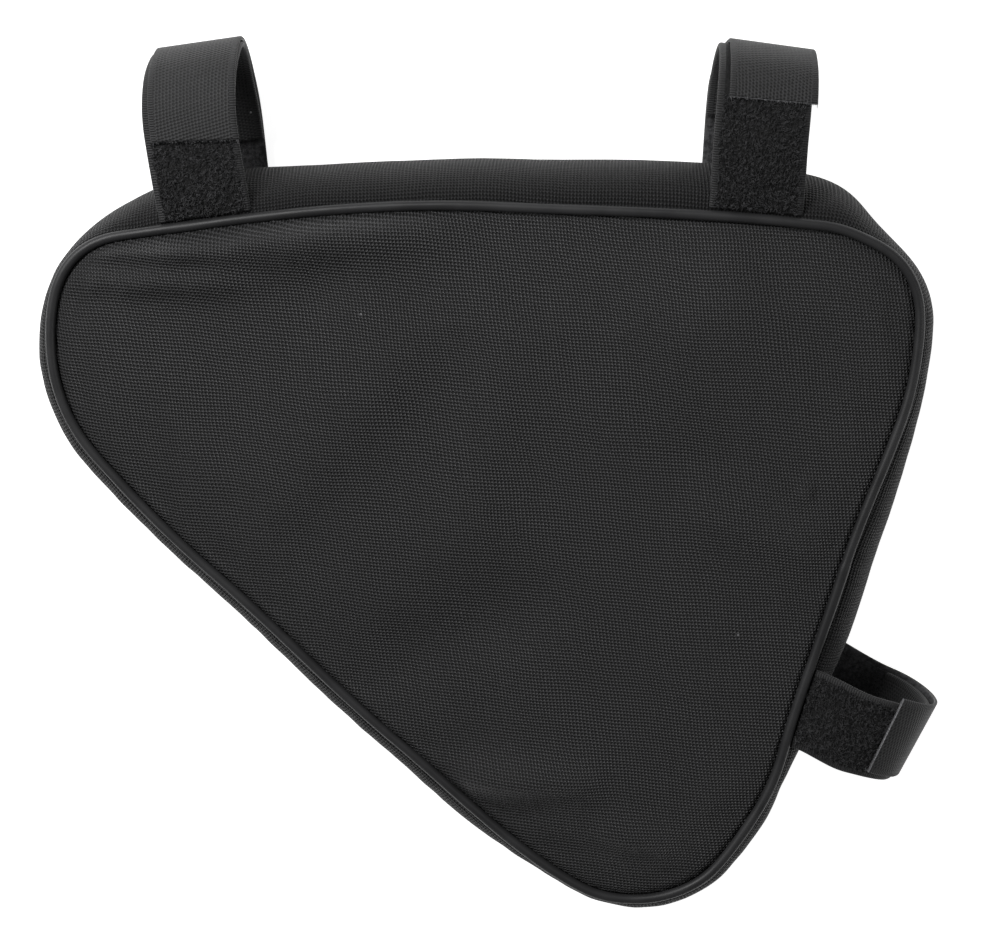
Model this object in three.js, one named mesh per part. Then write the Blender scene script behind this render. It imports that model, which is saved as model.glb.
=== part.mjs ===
// A triangular bicycle frame bag, lying on its back panel.
// Millimetres. +X runs along the bag's long top edge, +Y towards that edge, +Z out of the front panel.
// The cloth walls are hollow and stand 0.3 mm apart at the seams, with a round piping along each seam.
import * as THREE from 'three';

// Driving dimensions
const BAG_LENGTH = 301;
const BAG_HEIGHT = 251.5;
const BAG_DEPTH = 50;
const CLOTH = 1.6;
const PIPING_RADIUS = 1.8;
const SEAM_GAP = 0.3;
const PANEL_CROWN = 5;
const TAPE_WIDTH = 30;
const PILE_TAPE_THICKNESS = 2;
const HOOK_TAPE_THICKNESS = 1.4;
const TAPE_GAP = 0.5;
const TOP_STRAP_RISE = 58;
const LOWER_STRAP_RISE = 48;
const ZIP_LENGTH = 200;
const ZIP_WIDTH = 14;
const ZIP_LIFT = 0.3;

// The middle of the zip: a share of the bag's length, and so far below the highest point of the seam
const ZIP_ALONG = 0.48;
const ZIP_DROP = 43.5;

// How finely the curved walls are cut into flat faces
const SEAM_STEPS = 84;
const WALL_STEPS = 7;
const PIPING_SIDES = 8;
const TAPE_STEPS = 36;
const ZIP_END_STEPS = 6;

// The least turn of a seam span in radians, and the least share of the loop between a tape's end
// and its next section
const LEAST_TURN = 0.001;
const LEAST_TAPE_STEP = 0.01;

// Heights of the two seams: the back piping lies on the ground under the front one.
const BACK_SEAM = PIPING_RADIUS;
const FRONT_SEAM = BACK_SEAM + BAG_DEPTH;
const PIPING_CLEARANCE = PIPING_RADIUS + SEAM_GAP;

// The seam line, anticlockwise from the middle of the top edge. Along and up are shares of the bag's
// length and height, heading is the way the line runs in degrees, bulge is how far the side wall
// stands out half way between the seams, as a share of the bag's depth.
const SEAM_KNOTS = [
  { along: 0.518, up: 0.997, heading: 177, bulge: 0.28 },
  { along: 0.166, up: 0.969, heading: 190, bulge: 0.29 },
  { along: 0.104, up: 0.959, heading: 191, bulge: 0.26 },
  { along: 0.055, up: 0.945, heading: 210, bulge: 0.07 },
  { along: 0.001, up: 0.804, heading: 270, bulge: 0.13 },
  { along: 0.047, up: 0.650, heading: 305, bulge: 0.16 },
  { along: 0.185, up: 0.478, heading: 313, bulge: 0.18 },
  { along: 0.400, up: 0.232, heading: 314, bulge: 0.19 },
  { along: 0.614, up: 0.020, heading: 325, bulge: 0.15 },
  { along: 0.691, up: 0.001, heading: 5, bulge: 0.19 },
  { along: 0.786, up: 0.061, heading: 59, bulge: 0.13 },
  { along: 0.854, up: 0.218, heading: 79, bulge: 0.18 },
  { along: 0.921, up: 0.492, heading: 77, bulge: 0.27 },
  { along: 0.982, up: 0.705, heading: 75, bulge: 0.17 },
  { along: 0.999, up: 0.830, heading: 88, bulge: 0.13 },
  { along: 0.954, up: 0.942, heading: 146, bulge: 0.08 },
  { along: 0.893, up: 0.971, heading: 171, bulge: 0.28 },
];

// Folds of the front panel, each a straight valley or ridge that fades at its ends. Places are
// shares of the bag's length and height, reach is half its width as a share of the length, and
// lift is a share of the panel's crown, below zero for a valley.
const FOLDS = [
  { fromAlong: 0.03, fromUp: 0.915, toAlong: 0.19, toUp: 0.925, reach: 0.016, lift: -0.34 },
  { fromAlong: 0.04, fromUp: 0.860, toAlong: 0.16, toUp: 0.880, reach: 0.018, lift: -0.30 },
  { fromAlong: 0.03, fromUp: 0.888, toAlong: 0.14, toUp: 0.902, reach: 0.014, lift: 0.22 },
  { fromAlong: 0.12, fromUp: 0.935, toAlong: 0.44, toUp: 0.910, reach: 0.045, lift: -0.40 },
  { fromAlong: 0.47, fromUp: 0.850, toAlong: 0.25, toUp: 0.520, reach: 0.045, lift: -0.22 },
  { fromAlong: 0.54, fromUp: 0.570, toAlong: 0.33, toUp: 0.270, reach: 0.040, lift: -0.34 },
  { fromAlong: 0.38, fromUp: 0.340, toAlong: 0.53, toUp: 0.400, reach: 0.024, lift: -0.24 },
  { fromAlong: 0.47, fromUp: 0.155, toAlong: 0.61, toUp: 0.158, reach: 0.020, lift: -0.28 },
  { fromAlong: 0.84, fromUp: 0.600, toAlong: 0.90, toUp: 0.540, reach: 0.022, lift: -0.22 },
  { fromAlong: 0.72, fromUp: 0.520, toAlong: 0.88, toUp: 0.510, reach: 0.040, lift: -0.16 },
];

// Where the rings of the panels' faces lie, as shares of the way from their middle to their edge
const PANEL_RINGS = [1, 0.98, 0.95, 0.905, 0.85, 0.78, 0.70, 0.59, 0.46, 0.32, 0.16];
const PANEL_MIDDLE = { along: 0.52, up: 0.58 };
const PANEL_EDGE_SINK = 0.6;
const PANEL_RISE_LENGTH = 13;

// The loop of a strap seen from its side, from the front seam round to the back one. Rise is a share
// of the strap's own rise, depth a share of the way from the back end of the tapes to the front one.
const LOOP = [
  { rise: 0.00, depth: 1.00 },
  { rise: 0.22, depth: 1.04 },
  { rise: 0.48, depth: 1.05 },
  { rise: 0.72, depth: 1.00 },
  { rise: 0.90, depth: 0.86 },
  { rise: 1.00, depth: 0.60 },
  { rise: 0.97, depth: 0.36 },
  { rise: 0.84, depth: 0.16 },
  { rise: 0.62, depth: 0.04 },
  { rise: 0.34, depth: 0.00 },
  { rise: 0.00, depth: 0.00 },
];

// The straps. At is the middle of the strap's foot, as a share of the seam line's length. The pile
// and hook columns say how far each tape lies to the side of that middle, at five places round the
// loop (front seam, front face, top, back face, back seam), as shares of the tape's width. Turn is
// how far the tape's width is turned there, in degrees. Hook end and pile end are where the tapes
// stop, as shares of the way round the loop. The pile width is a share of the hook tape's width.
const STRAPS = [
  {
    name: 'left_strap', rise: 1.015 * TOP_STRAP_RISE, at: 0.115, hookEnd: 0.19, pileEnd: 0.85, pileWidth: 1.07,
    pile: [0.04, 0.04, 0.16, 0.12, 0.10], hook: [0, 0.09, 0.19, 0.17, 0.12], turn: [0, 6, 0, 0, 0],
  },
  {
    name: 'right_strap', rise: 0.975 * TOP_STRAP_RISE, at: 0.901, hookEnd: 0.28, pileEnd: 0.79, pileWidth: 1.07,
    pile: [0, -0.03, -0.03, -0.05, -0.05], hook: [0, 0.07, 0.05, -0.09, -0.06], turn: [0, 0, 3, 0, 0],
  },
  {
    name: 'lower_strap', rise: LOWER_STRAP_RISE, at: 0.653, hookEnd: 0.255, pileEnd: 0.72, pileWidth: 1,
    pile: [0, 0.10, 0.17, 0.14, 0.02], hook: [0, 0.01, 0.11, 0.09, -0.11], turn: [0, 7, 10, 6, 0],
  },
];

// The tapes end beside the pipings. The stand-off is wider than the seam's gap, because the ends are
// straight and the seam line bends. The pile tape's underside lies below the front seam and the hook
// tape's underside above the back one.
const TAPE_STAND_OFF = 0.5;
const STRAP_FOOT = PIPING_RADIUS + TAPE_STAND_OFF;
const PILE_SINK = 1.25 * PIPING_RADIUS;
const HOOK_LIFT = 0.25;

// Cloth and tape finishes
const FINISHES = {
  panel_cloth: { color: 0x35353a, roughness: 0.78 },
  gusset_cloth: { color: 0x37373c, roughness: 0.78 },
  piping: { color: 0x2e2e31, roughness: 0.38 },
  pile_tape: { color: 0x19191b, roughness: 0.95 },
  hook_tape: { color: 0x3d3d41, roughness: 0.7 },
  zip: { color: 0x222225, roughness: 0.6 },
};

function finish(slot) {
  return new THREE.MeshStandardMaterial({ ...FINISHES[slot], metalness: 0 });
}

function piece(name, geometry, slot) {
  const mesh = new THREE.Mesh(geometry, finish(slot));
  mesh.name = name;
  return mesh;
}

// The seam line as one closed path. Each span between two knots bends like an arc that turns by the
// same angle, and the whole is stretched from the unit square to the bag's length and height.
function seamPath() {
  const knots = SEAM_KNOTS.map((knot) => {
    const heading = THREE.MathUtils.degToRad(knot.heading);
    return {
      place: new THREE.Vector2(knot.along, knot.up),
      way: new THREE.Vector2(Math.cos(heading), Math.sin(heading)),
    };
  });
  const scaled = (point) => [point.x * BAG_LENGTH, point.y * BAG_HEIGHT];
  const path = new THREE.Path();
  path.moveTo(...scaled(knots[0].place));
  knots.forEach((knot, index) => {
    const next = knots[(index + 1) % knots.length];
    const turn = Math.max(knot.way.angleTo(next.way), LEAST_TURN);
    const chord = knot.place.distanceTo(next.place);
    const handle = (2 / 3) * chord * Math.tan(turn / 4) / Math.sin(turn / 2);
    const leaving = knot.place.clone().addScaledVector(knot.way, handle);
    const arriving = next.place.clone().addScaledVector(next.way, -handle);
    path.bezierCurveTo(...scaled(leaving), ...scaled(arriving), ...scaled(next.place));
  });
  return path;
}

const SEAM = seamPath();

// The bulge at a share of the seam's length, eased from knot to knot.
function bulgeAt(share) {
  const lengths = SEAM.getCurveLengths();
  const whole = lengths[lengths.length - 1];
  const travelled = share * whole;
  const span = Math.min(lengths.findIndex((end) => end >= travelled), lengths.length - 1);
  const start = span === 0 ? 0 : lengths[span - 1];
  const ease = THREE.MathUtils.smoothstep(travelled, start, lengths[span]);
  const next = SEAM_KNOTS[(span + 1) % SEAM_KNOTS.length];
  return BAG_DEPTH * THREE.MathUtils.lerp(SEAM_KNOTS[span].bulge, next.bulge, ease);
}

// A place on the seam line, with the way the line runs there and the way out of the bag.
function station(share) {
  const place = SEAM.getPointAt(share);
  const along = SEAM.getTangentAt(share);
  return { place, along, out: new THREE.Vector2(along.y, -along.x), bulge: bulgeAt(share) };
}

const STATIONS = Array.from({ length: SEAM_STEPS }, (_, index) => station(index / SEAM_STEPS));

// Joins loops of points into one closed surface, each loop to the next. The last joins the first,
// or else both ends are closed over their middle.
function loft(loops, joined) {
  const corners = loops[0].length;
  const positions = loops.flat().flatMap((point) => point.toArray());
  const triangles = [];
  const spans = joined ? loops.length : loops.length - 1;
  for (let span = 0; span < spans; span += 1) {
    const here = span * corners;
    const there = ((span + 1) % loops.length) * corners;
    for (let corner = 0; corner < corners; corner += 1) {
      const next = (corner + 1) % corners;
      triangles.push(here + corner, here + next, there + next);
      triangles.push(here + corner, there + next, there + corner);
    }
  }
  const closeOver = (loopIndex, facing) => {
    const middle = new THREE.Vector3();
    loops[loopIndex].forEach((point) => middle.addScaledVector(point, 1 / corners));
    const hub = positions.length / 3;
    positions.push(...middle.toArray());
    for (let corner = 0; corner < corners; corner += 1) {
      const first = loopIndex * corners + corner;
      const second = loopIndex * corners + (corner + 1) % corners;
      triangles.push(hub, facing ? first : second, facing ? second : first);
    }
  };
  if (!joined) {
    closeOver(0, false);
    closeOver(loops.length - 1, true);
  }
  const geometry = new THREE.BufferGeometry();
  geometry.setAttribute('position', new THREE.Float32BufferAttribute(positions, 3));
  geometry.setIndex(triangles);
  geometry.computeVertexNormals();
  return geometry;
}

// A wall that runs right round the seam: the section at each station is a closed list of corners,
// each so far out of the seam line and so high above the ground.
function roundTheSeam(sectionAt) {
  const sections = STATIONS.map(sectionAt);
  const loops = sections[0].map((_, corner) => STATIONS.map(({ place, out }, index) => {
    const section = sections[index][corner];
    const point = place.clone().addScaledVector(out, section.out);
    return new THREE.Vector3(point.x, point.y, section.high);
  }));
  return loft(loops, true);
}

function piping(name, seamHeight) {
  const sides = Array.from({ length: PIPING_SIDES }, (_, index) => (2 * Math.PI * index) / PIPING_SIDES);
  const section = sides.map((angle) => ({
    out: PIPING_RADIUS * Math.cos(angle),
    high: seamHeight + PIPING_RADIUS * Math.sin(angle),
  }));
  return piece(name, roundTheSeam(() => section), 'piping');
}

// The side wall bulges from seam to seam in half an ellipse, as thick all over as the cloth.
function gusset() {
  const middle = (FRONT_SEAM + BACK_SEAM) / 2;
  const halfDepth = BAG_DEPTH / 2 - PIPING_CLEARANCE;
  const angles = Array.from({ length: WALL_STEPS + 1 }, (_, index) => {
    return Math.PI / 2 - (Math.PI * index) / WALL_STEPS;
  });
  const sectionAt = ({ bulge }) => {
    const outer = angles.map((angle) => ({
      out: bulge * Math.cos(angle),
      high: middle + halfDepth * Math.sin(angle),
    }));
    const inner = angles.map((angle) => ({
      out: Math.max((bulge - CLOTH) * Math.cos(angle), 0),
      high: middle + (halfDepth - CLOTH) * Math.sin(angle),
    }));
    return [...inner, ...outer.reverse()];
  };
  return piece('gusset', roundTheSeam(sectionAt), 'gusset_cloth');
}

// How far a fold lifts the panel at a place given in shares of the bag's length and height.
function foldLift(fold, along, up) {
  const aspect = BAG_HEIGHT / BAG_LENGTH;
  const start = new THREE.Vector2(fold.fromAlong, fold.fromUp * aspect);
  const way = new THREE.Vector2(fold.toAlong, fold.toUp * aspect).sub(start);
  const length = way.length();
  way.normalize();
  const place = new THREE.Vector2(along, up * aspect).sub(start);
  const past = place.dot(way) / length;
  const aside = place.cross(way) / fold.reach;
  if (past <= 0 || past >= 1) return 0;
  return PANEL_CROWN * fold.lift * Math.sin(Math.PI * past) * Math.exp(-aside * aside);
}

// The seam's outline drawn in so that the panel's edge clears the piping.
const PANEL_EDGE = STATIONS.map(({ place, out }) => place.clone().addScaledVector(out, -PIPING_CLEARANCE));

// The crowned front panel: it starts low beside the piping, rises steeply and flattens, and its
// folds fade out towards the edge.
function frontPanel() {
  const middle = new THREE.Vector2(PANEL_MIDDLE.along * BAG_LENGTH, PANEL_MIDDLE.up * BAG_HEIGHT);
  const heightAt = (place) => {
    const fromEdge = Math.min(...PANEL_EDGE.map((edge) => edge.distanceTo(place)));
    const rise = 1 - Math.exp(-fromEdge / PANEL_RISE_LENGTH);
    const along = place.x / BAG_LENGTH;
    const up = place.y / BAG_HEIGHT;
    const folds = FOLDS.reduce((sum, fold) => sum + foldLift(fold, along, up), 0);
    return FRONT_SEAM - PANEL_EDGE_SINK + rise * (PANEL_CROWN + folds);
  };
  const ring = (share) => PANEL_EDGE.map((edge) => {
    const place = middle.clone().lerp(edge, share);
    return new THREE.Vector3(place.x, place.y, heightAt(place));
  });
  const outer = PANEL_RINGS.map(ring);
  const inner = outer.map((points) => points.map((point) => point.clone().setZ(point.z - CLOTH)));
  return piece('front_panel', loft([...inner.reverse(), ...outer], false), 'panel_cloth');
}

// An outline with round ends, drawn along X about the origin.
function roundEnded(length, width, grow) {
  const radius = width / 2 + grow;
  const reach = (length - width) / 2;
  const outline = new THREE.Shape();
  outline.absarc(reach, 0, radius, -Math.PI / 2, Math.PI / 2);
  outline.absarc(-reach, 0, radius, Math.PI / 2, (3 * Math.PI) / 2);
  outline.closePath();
  return outline;
}

const ZIP_PLACE = new THREE.Vector2(ZIP_ALONG * BAG_LENGTH, BAG_HEIGHT - ZIP_DROP);

// The back panel is flat where the bag lies on it, with a slot for the zip.
function backPanel() {
  const outline = new THREE.Shape(PANEL_EDGE);
  const slot = roundEnded(ZIP_LENGTH, ZIP_WIDTH, SEAM_GAP).getPoints(ZIP_END_STEPS);
  outline.holes.push(new THREE.Path(slot.map((point) => point.add(ZIP_PLACE))));
  const geometry = new THREE.ExtrudeGeometry(outline, { depth: CLOTH, bevelEnabled: false });
  return piece('back_panel', geometry, 'panel_cloth');
}

// The closed zip in the hidden back panel, as one plain strip that lies a little above the ground.
function zip() {
  const outline = roundEnded(ZIP_LENGTH, ZIP_WIDTH, 0);
  const settings = { depth: CLOTH - ZIP_LIFT, bevelEnabled: false, curveSegments: ZIP_END_STEPS };
  const mesh = piece('zip', new THREE.ExtrudeGeometry(outline, settings), 'zip');
  mesh.position.set(ZIP_PLACE.x, ZIP_PLACE.y, ZIP_LIFT);
  return mesh;
}

// A value eased between those given at the front seam, front face, top, back face and back seam.
const COLUMN_PLACES = [0, 0.2, 0.5, 0.72, 1];
function columnAt(values, share) {
  const span = COLUMN_PLACES.slice(1, -1).filter((place) => share >= place).length;
  const ease = THREE.MathUtils.smoothstep(share, COLUMN_PLACES[span], COLUMN_PLACES[span + 1]);
  return THREE.MathUtils.lerp(values[span], values[span + 1], ease);
}

// The places of a tape's sections. Both tapes of a strap bend at the same even steps round the loop,
// so that they lie flat on each other.
function tapeShares(from, to) {
  const steps = Array.from({ length: TAPE_STEPS + 1 }, (_, index) => index / TAPE_STEPS);
  const isBetween = (share) => share > from + LEAST_TAPE_STEP && share < to - LEAST_TAPE_STEP;
  return [from, ...steps.filter(isBetween), to];
}

// One tape of a strap, from share to share of the way round the loop, between two distances
// measured outwards from the face where the two tapes meet.
function tape(strap, sides, width, from, to, innerFace, outerFace) {
  const foot = station(strap.at);
  const frontEnd = FRONT_SEAM - PILE_SINK + PILE_TAPE_THICKNESS + TAPE_GAP / 2;
  const backEnd = BACK_SEAM + HOOK_LIFT + HOOK_TAPE_THICKNESS + TAPE_GAP / 2;
  const loop = new THREE.SplineCurve(LOOP.map(({ rise, depth }) => new THREE.Vector2(
    THREE.MathUtils.lerp(STRAP_FOOT, strap.rise, rise),
    THREE.MathUtils.lerp(backEnd, frontEnd, depth),
  )));
  const sideways = foot.along.clone().negate();
  const sections = tapeShares(from, to).map((share) => {
    const place = loop.getPointAt(share);
    const way = loop.getTangentAt(share);
    const outwards = new THREE.Vector2(-way.y, way.x);
    const turn = THREE.MathUtils.degToRad(columnAt(strap.turn, share));
    const across = sideways.clone().rotateAround(new THREE.Vector2(), -turn);
    const aside = columnAt(sides, share) * TAPE_WIDTH;
    const corner = (side, lift) => {
      const out = place.x + outwards.x * lift;
      const point = foot.place.clone().addScaledVector(foot.out, out);
      point.addScaledVector(across, aside + side * width / 2);
      return new THREE.Vector3(point.x, point.y, place.y + outwards.y * lift);
    };
    return [corner(1, innerFace), corner(-1, innerFace), corner(-1, outerFace), corner(1, outerFace)];
  });
  return loft(sections, false);
}

function strapTapes(strap) {
  const pileFaces = [-TAPE_GAP / 2 - PILE_TAPE_THICKNESS, -TAPE_GAP / 2];
  const hookFaces = [TAPE_GAP / 2, TAPE_GAP / 2 + HOOK_TAPE_THICKNESS];
  const pileWidth = TAPE_WIDTH * strap.pileWidth;
  const pile = tape(strap, strap.pile, pileWidth, 0, strap.pileEnd, ...pileFaces);
  const hook = tape(strap, strap.hook, TAPE_WIDTH, strap.hookEnd, 1, ...hookFaces);
  return [
    piece(`${strap.name}_pile_tape`, pile, 'pile_tape'),
    piece(`${strap.name}_hook_tape`, hook, 'hook_tape'),
  ];
}

const bag = new THREE.Group();
bag.add(frontPanel(), backPanel(), gusset());
bag.add(piping('front_piping', FRONT_SEAM), piping('back_piping', BACK_SEAM));
bag.add(zip());
STRAPS.forEach((strap) => bag.add(...strapTapes(strap)));

// The origin is on the ground under the middle of the bag's box.
const box = new THREE.Box3().setFromObject(bag);
const middle = box.getCenter(new THREE.Vector3());
bag.position.set(-middle.x, -middle.y, 0);
bag.updateMatrixWorld(true);

export default bag;
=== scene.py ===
# %% [markdown]
# # A triangular bicycle frame bag
#
# This notebook dresses a bag whose construction is already settled. The real bag is sewn from coarse
# black cloth: a front and a back panel, a side wall between them, a round piping in each seam, a zip in
# the back and three straps of hook-and-loop tape. The construction model gives every piece its place, as
# plain solids. Here each one gets its real surface: folds, weave, piping gloss and the fuzz of the tape.
# We read sizes and outlines from the construction model, and only the folds from the photograph.

# %% Loading the construction model
import math

import bpy
import numpy as np
from mathutils import Matrix, Vector


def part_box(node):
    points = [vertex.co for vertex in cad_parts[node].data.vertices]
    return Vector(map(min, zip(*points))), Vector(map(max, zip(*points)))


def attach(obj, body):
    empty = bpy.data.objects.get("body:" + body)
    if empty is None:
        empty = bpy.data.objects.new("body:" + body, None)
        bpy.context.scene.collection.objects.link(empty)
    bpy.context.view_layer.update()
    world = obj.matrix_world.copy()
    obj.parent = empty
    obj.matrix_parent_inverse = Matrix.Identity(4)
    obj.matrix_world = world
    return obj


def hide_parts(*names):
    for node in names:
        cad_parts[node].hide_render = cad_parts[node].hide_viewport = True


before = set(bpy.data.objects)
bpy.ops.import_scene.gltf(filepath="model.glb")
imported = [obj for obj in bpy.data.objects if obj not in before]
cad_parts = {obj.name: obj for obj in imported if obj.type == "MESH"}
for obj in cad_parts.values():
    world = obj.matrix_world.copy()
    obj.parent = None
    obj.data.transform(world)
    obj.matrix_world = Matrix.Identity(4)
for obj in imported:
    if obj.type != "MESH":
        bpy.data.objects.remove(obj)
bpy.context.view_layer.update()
MM = 0.001

# %% [markdown]
# ## Sizes
#
# The two pipings mark the seams. Each is a round cord, so the box of a piping gives the cord's radius and
# the height of its seam. The bag lies on its back panel, and the front panel faces up, along +Z.

# %% Heights of the seams
front_low, front_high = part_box("front_piping")
back_low, back_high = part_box("back_piping")
CORD_RADIUS = (front_high.z - front_low.z) / 2
FRONT_SEAM = (front_high.z + front_low.z) / 2
BACK_SEAM = (back_high.z + back_low.z) / 2
MIDDLE_HEIGHT = (FRONT_SEAM + BACK_SEAM) / 2
PANEL_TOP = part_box("front_panel")[1].z
print(f"cord radius {CORD_RADIUS / MM:.2f} mm, seams at {BACK_SEAM / MM:.1f} and {FRONT_SEAM / MM:.1f} mm")

# %% [markdown]
# ## Camera
#
# The photograph was taken with a long lens from about 0.86 m, a little above the middle of the bag. We
# rebuild that camera first, because it also lets us read a place in the photograph as a place on the bag:
# a ray from the lens through a pixel meets the front panel in one point. A camera in Blender looks along
# its own -Z, so the matrix is made of its right, up and backward directions.

# %% The photograph's camera
PHOTO_WIDTH, PHOTO_HEIGHT = 1000, 928
FOCAL_PIXELS = 2464
CAMERA_DISTANCE = 860 * MM
CAMERA_TILT = math.radians(12)
CAMERA_TURN = math.radians(1.65)
AIM_ALONG, AIM_UP = 156.12 * MM, 160.68 * MM

aim = Vector((front_low.x + CORD_RADIUS + AIM_ALONG, front_low.y + CORD_RADIUS + AIM_UP, FRONT_SEAM))
camera_back = Vector((
    math.sin(CAMERA_TURN) * math.cos(CAMERA_TILT),
    math.sin(CAMERA_TILT),
    math.cos(CAMERA_TURN) * math.cos(CAMERA_TILT),
))
camera_right = Vector((0, 1, 0)).cross(camera_back).normalized()
camera_up = camera_back.cross(camera_right)
camera_place = aim + camera_back * CAMERA_DISTANCE

camera_data = bpy.data.cameras.new("photo_camera")
camera_data.sensor_width = 36
camera_data.lens = camera_data.sensor_width * FOCAL_PIXELS / PHOTO_WIDTH
camera = bpy.data.objects.new("photo_camera", camera_data)
bpy.context.scene.collection.objects.link(camera)
camera.matrix_world = Matrix.Translation(camera_place) @ Matrix(
    (camera_right, camera_up, camera_back)).transposed().to_4x4()
bpy.context.scene.camera = camera


def panel_place(pixel):
    """The place on the front panel that the photograph shows at a pixel, as seen from above."""
    ray = camera_right * (pixel[0] - PHOTO_WIDTH / 2) - camera_up * (pixel[1] - PHOTO_HEIGHT / 2)
    ray -= camera_back * FOCAL_PIXELS
    reach = (PANEL_TOP - camera_place.z) / ray.z
    return np.array((camera_place + ray * reach)[:2])


print("lens", round(camera_data.lens, 1), "mm, camera at", [round(c, 3) for c in camera_place])

# %% [markdown]
# ## Light
#
# The photograph is a plain studio shot: white ground, very soft light, and long soft highlights on the
# piping. A light table gives that. The floor is pale and glows, so that it stays white round the bag, and
# large panels of light hang above. The strongest is at the upper left, where the cloth is brightest.

# %% Floor and soft lights
FLOOR_SIZE, FLOOR_DROP = 14.0, 0.1 * MM
FLOOR_COLOR, FLOOR_GLOW = (0.55, 0.55, 0.55, 1), 0.92
FLOOR_ROUGHNESS, FLOOR_GLOSS = 0.8, 0.1
AIR_LIGHT = 0.12
WHITE = (1, 1, 1, 1)

scene = bpy.context.scene
scene.view_settings.view_transform = "Standard"
world = bpy.data.worlds.new("studio_air")
world.use_nodes = True
air = world.node_tree.nodes["Background"].inputs
air["Color"].default_value = WHITE
air["Strength"].default_value = AIR_LIGHT
scene.world = world

floor_mesh = bpy.data.meshes.new("studio_floor")
half = FLOOR_SIZE / 2
floor_corners = [(-half, -half, 0), (half, -half, 0), (half, half, 0), (-half, half, 0)]
floor_mesh.from_pydata(floor_corners, [], [(0, 1, 2, 3)])
floor = bpy.data.objects.new("studio_floor", floor_mesh)
floor.location.z = -FLOOR_DROP
scene.collection.objects.link(floor)
floor_finish = bpy.data.materials.new("pale_floor")
floor_finish.use_nodes = True
floor_inputs = floor_finish.node_tree.nodes["Principled BSDF"].inputs
floor_inputs["Base Color"].default_value = FLOOR_COLOR
floor_inputs["Roughness"].default_value = FLOOR_ROUGHNESS
floor_inputs["Specular IOR Level"].default_value = FLOOR_GLOSS
floor_inputs["Emission Color"].default_value = WHITE
floor_inputs["Emission Strength"].default_value = FLOOR_GLOW
floor_mesh.materials.append(floor_finish)

# Each panel of light: name, place in metres, width, depth, power in watts
LIGHTS = [
    ("key_upper_left", (-0.5, 0.54, 0.76), 0.75, 0.4, 12.2),
    ("right_strip", (0.95, -0.1, 0.75), 0.25, 1.1, 2.1),
    ("low_strip", (-0.2, -0.95, 0.8), 1.1, 0.3, 0.35),
]
for name, place, width, depth, power in LIGHTS:
    lamp = bpy.data.lights.new(name, "AREA")
    lamp.shape = "RECTANGLE"
    lamp.size, lamp.size_y, lamp.energy = width, depth, power
    holder = bpy.data.objects.new(name, lamp)
    holder.location = place
    holder.rotation_mode = "QUATERNION"
    holder.rotation_quaternion = (-Vector(place)).to_track_quat("-Z", "Y")
    scene.collection.objects.link(holder)
print("floor and", len(LIGHTS), "soft lights")

# %% [markdown]
# ## Building materials from nodes
#
# A procedural material is a small network of nodes. Writing one takes the same few steps again and
# again: add a node, set its options, feed its sockets. These helpers do just that, so that the cells below
# can be read as descriptions of the finish.

# %% Helpers for nodes


def add(tree, kind, sockets=None, **options):
    """Adds a shader node, sets its options, and feeds each named socket with a link or a value."""
    made = tree.nodes.new("ShaderNode" + kind)
    for option, value in options.items():
        setattr(made, option, value)
    for name, value in (sockets or {}).items():
        if isinstance(value, bpy.types.NodeSocket):
            tree.links.new(value, made.inputs[name])
        else:
            made.inputs[name].default_value = value
    return made


def maths(tree, operation, *values):
    """One sum on values or sockets, such as MULTIPLY or SINE."""
    return add(tree, "Math", dict(enumerate(values)), operation=operation).outputs[0]


def between(tree, value, low, high, to_low=0.0, to_high=1.0):
    """Takes value from low..high to to_low..to_high, smoothly and no further."""
    sockets = {"Value": value, "From Min": low, "From Max": high, "To Min": to_low, "To Max": to_high}
    return add(tree, "MapRange", sockets, interpolation_type="SMOOTHSTEP").outputs["Result"]


def mix_values(tree, share, first, second):
    """The first value where share is 0, the second where it is 1."""
    return add(tree, "Mix", {"Factor": share, "A": first, "B": second}).outputs["Result"]


def mix_colors(tree, share, first, second):
    """The first colour where share is 0, the second where it is 1."""
    sockets = {"Factor": share, "A": first, "B": second}
    return add(tree, "Mix", sockets, data_type="RGBA").outputs[2]


def half_sine(tree, yarns):
    """0 at the edges of each yarn and 1 along its middle."""
    return maths(tree, "SINE", maths(tree, "MULTIPLY", maths(tree, "FRACT", yarns), math.pi))


print("helpers for single nodes ready")

# %% Helpers for groups and materials
# How much more blue than red and green a grey has
COOLNESS = 1.04


def new_group(name, inputs, outputs):
    """An empty shader node group with named sockets: gives the group, what comes in and what goes out."""
    group = bpy.data.node_groups.new(name, "ShaderNodeTree")
    for socket, kind, value in inputs:
        made = group.interface.new_socket(socket, in_out="INPUT", socket_type="NodeSocket" + kind)
        if value is not None:
            made.default_value = value
    for socket, kind in outputs:
        group.interface.new_socket(socket, in_out="OUTPUT", socket_type="NodeSocket" + kind)
    return group, group.nodes.new("NodeGroupInput").outputs, group.nodes.new("NodeGroupOutput").inputs


def use_group(tree, group, sockets):
    """Places a group in a material, fed with its own values."""
    return add(tree, "Group", sockets, node_tree=group).outputs


def new_material(name, roughness, specular, sheen=0.0):
    """A material with a Principled shader: gives the material, its tree and the shader."""
    material = bpy.data.materials.new(name)
    material.use_nodes = True
    shader = material.node_tree.nodes["Principled BSDF"]
    shader.inputs["Roughness"].default_value = roughness
    shader.inputs["Specular IOR Level"].default_value = specular
    shader.inputs["Sheen Weight"].default_value = sheen
    return material, material.node_tree, shader


def own_place(tree):
    """The place on the piece, so that the pattern stays with the piece."""
    return add(tree, "TexCoord").outputs["Object"]


def surface(tree, shader, color, height, depth, strength):
    """Gives a shader its colour, and a relief that follows height."""
    tree.links.new(color, shader.inputs["Base Color"])
    relief = add(tree, "Bump", {"Height": height, "Distance": depth, "Strength": strength})
    tree.links.new(relief.outputs["Normal"], shader.inputs["Normal"])


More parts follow.
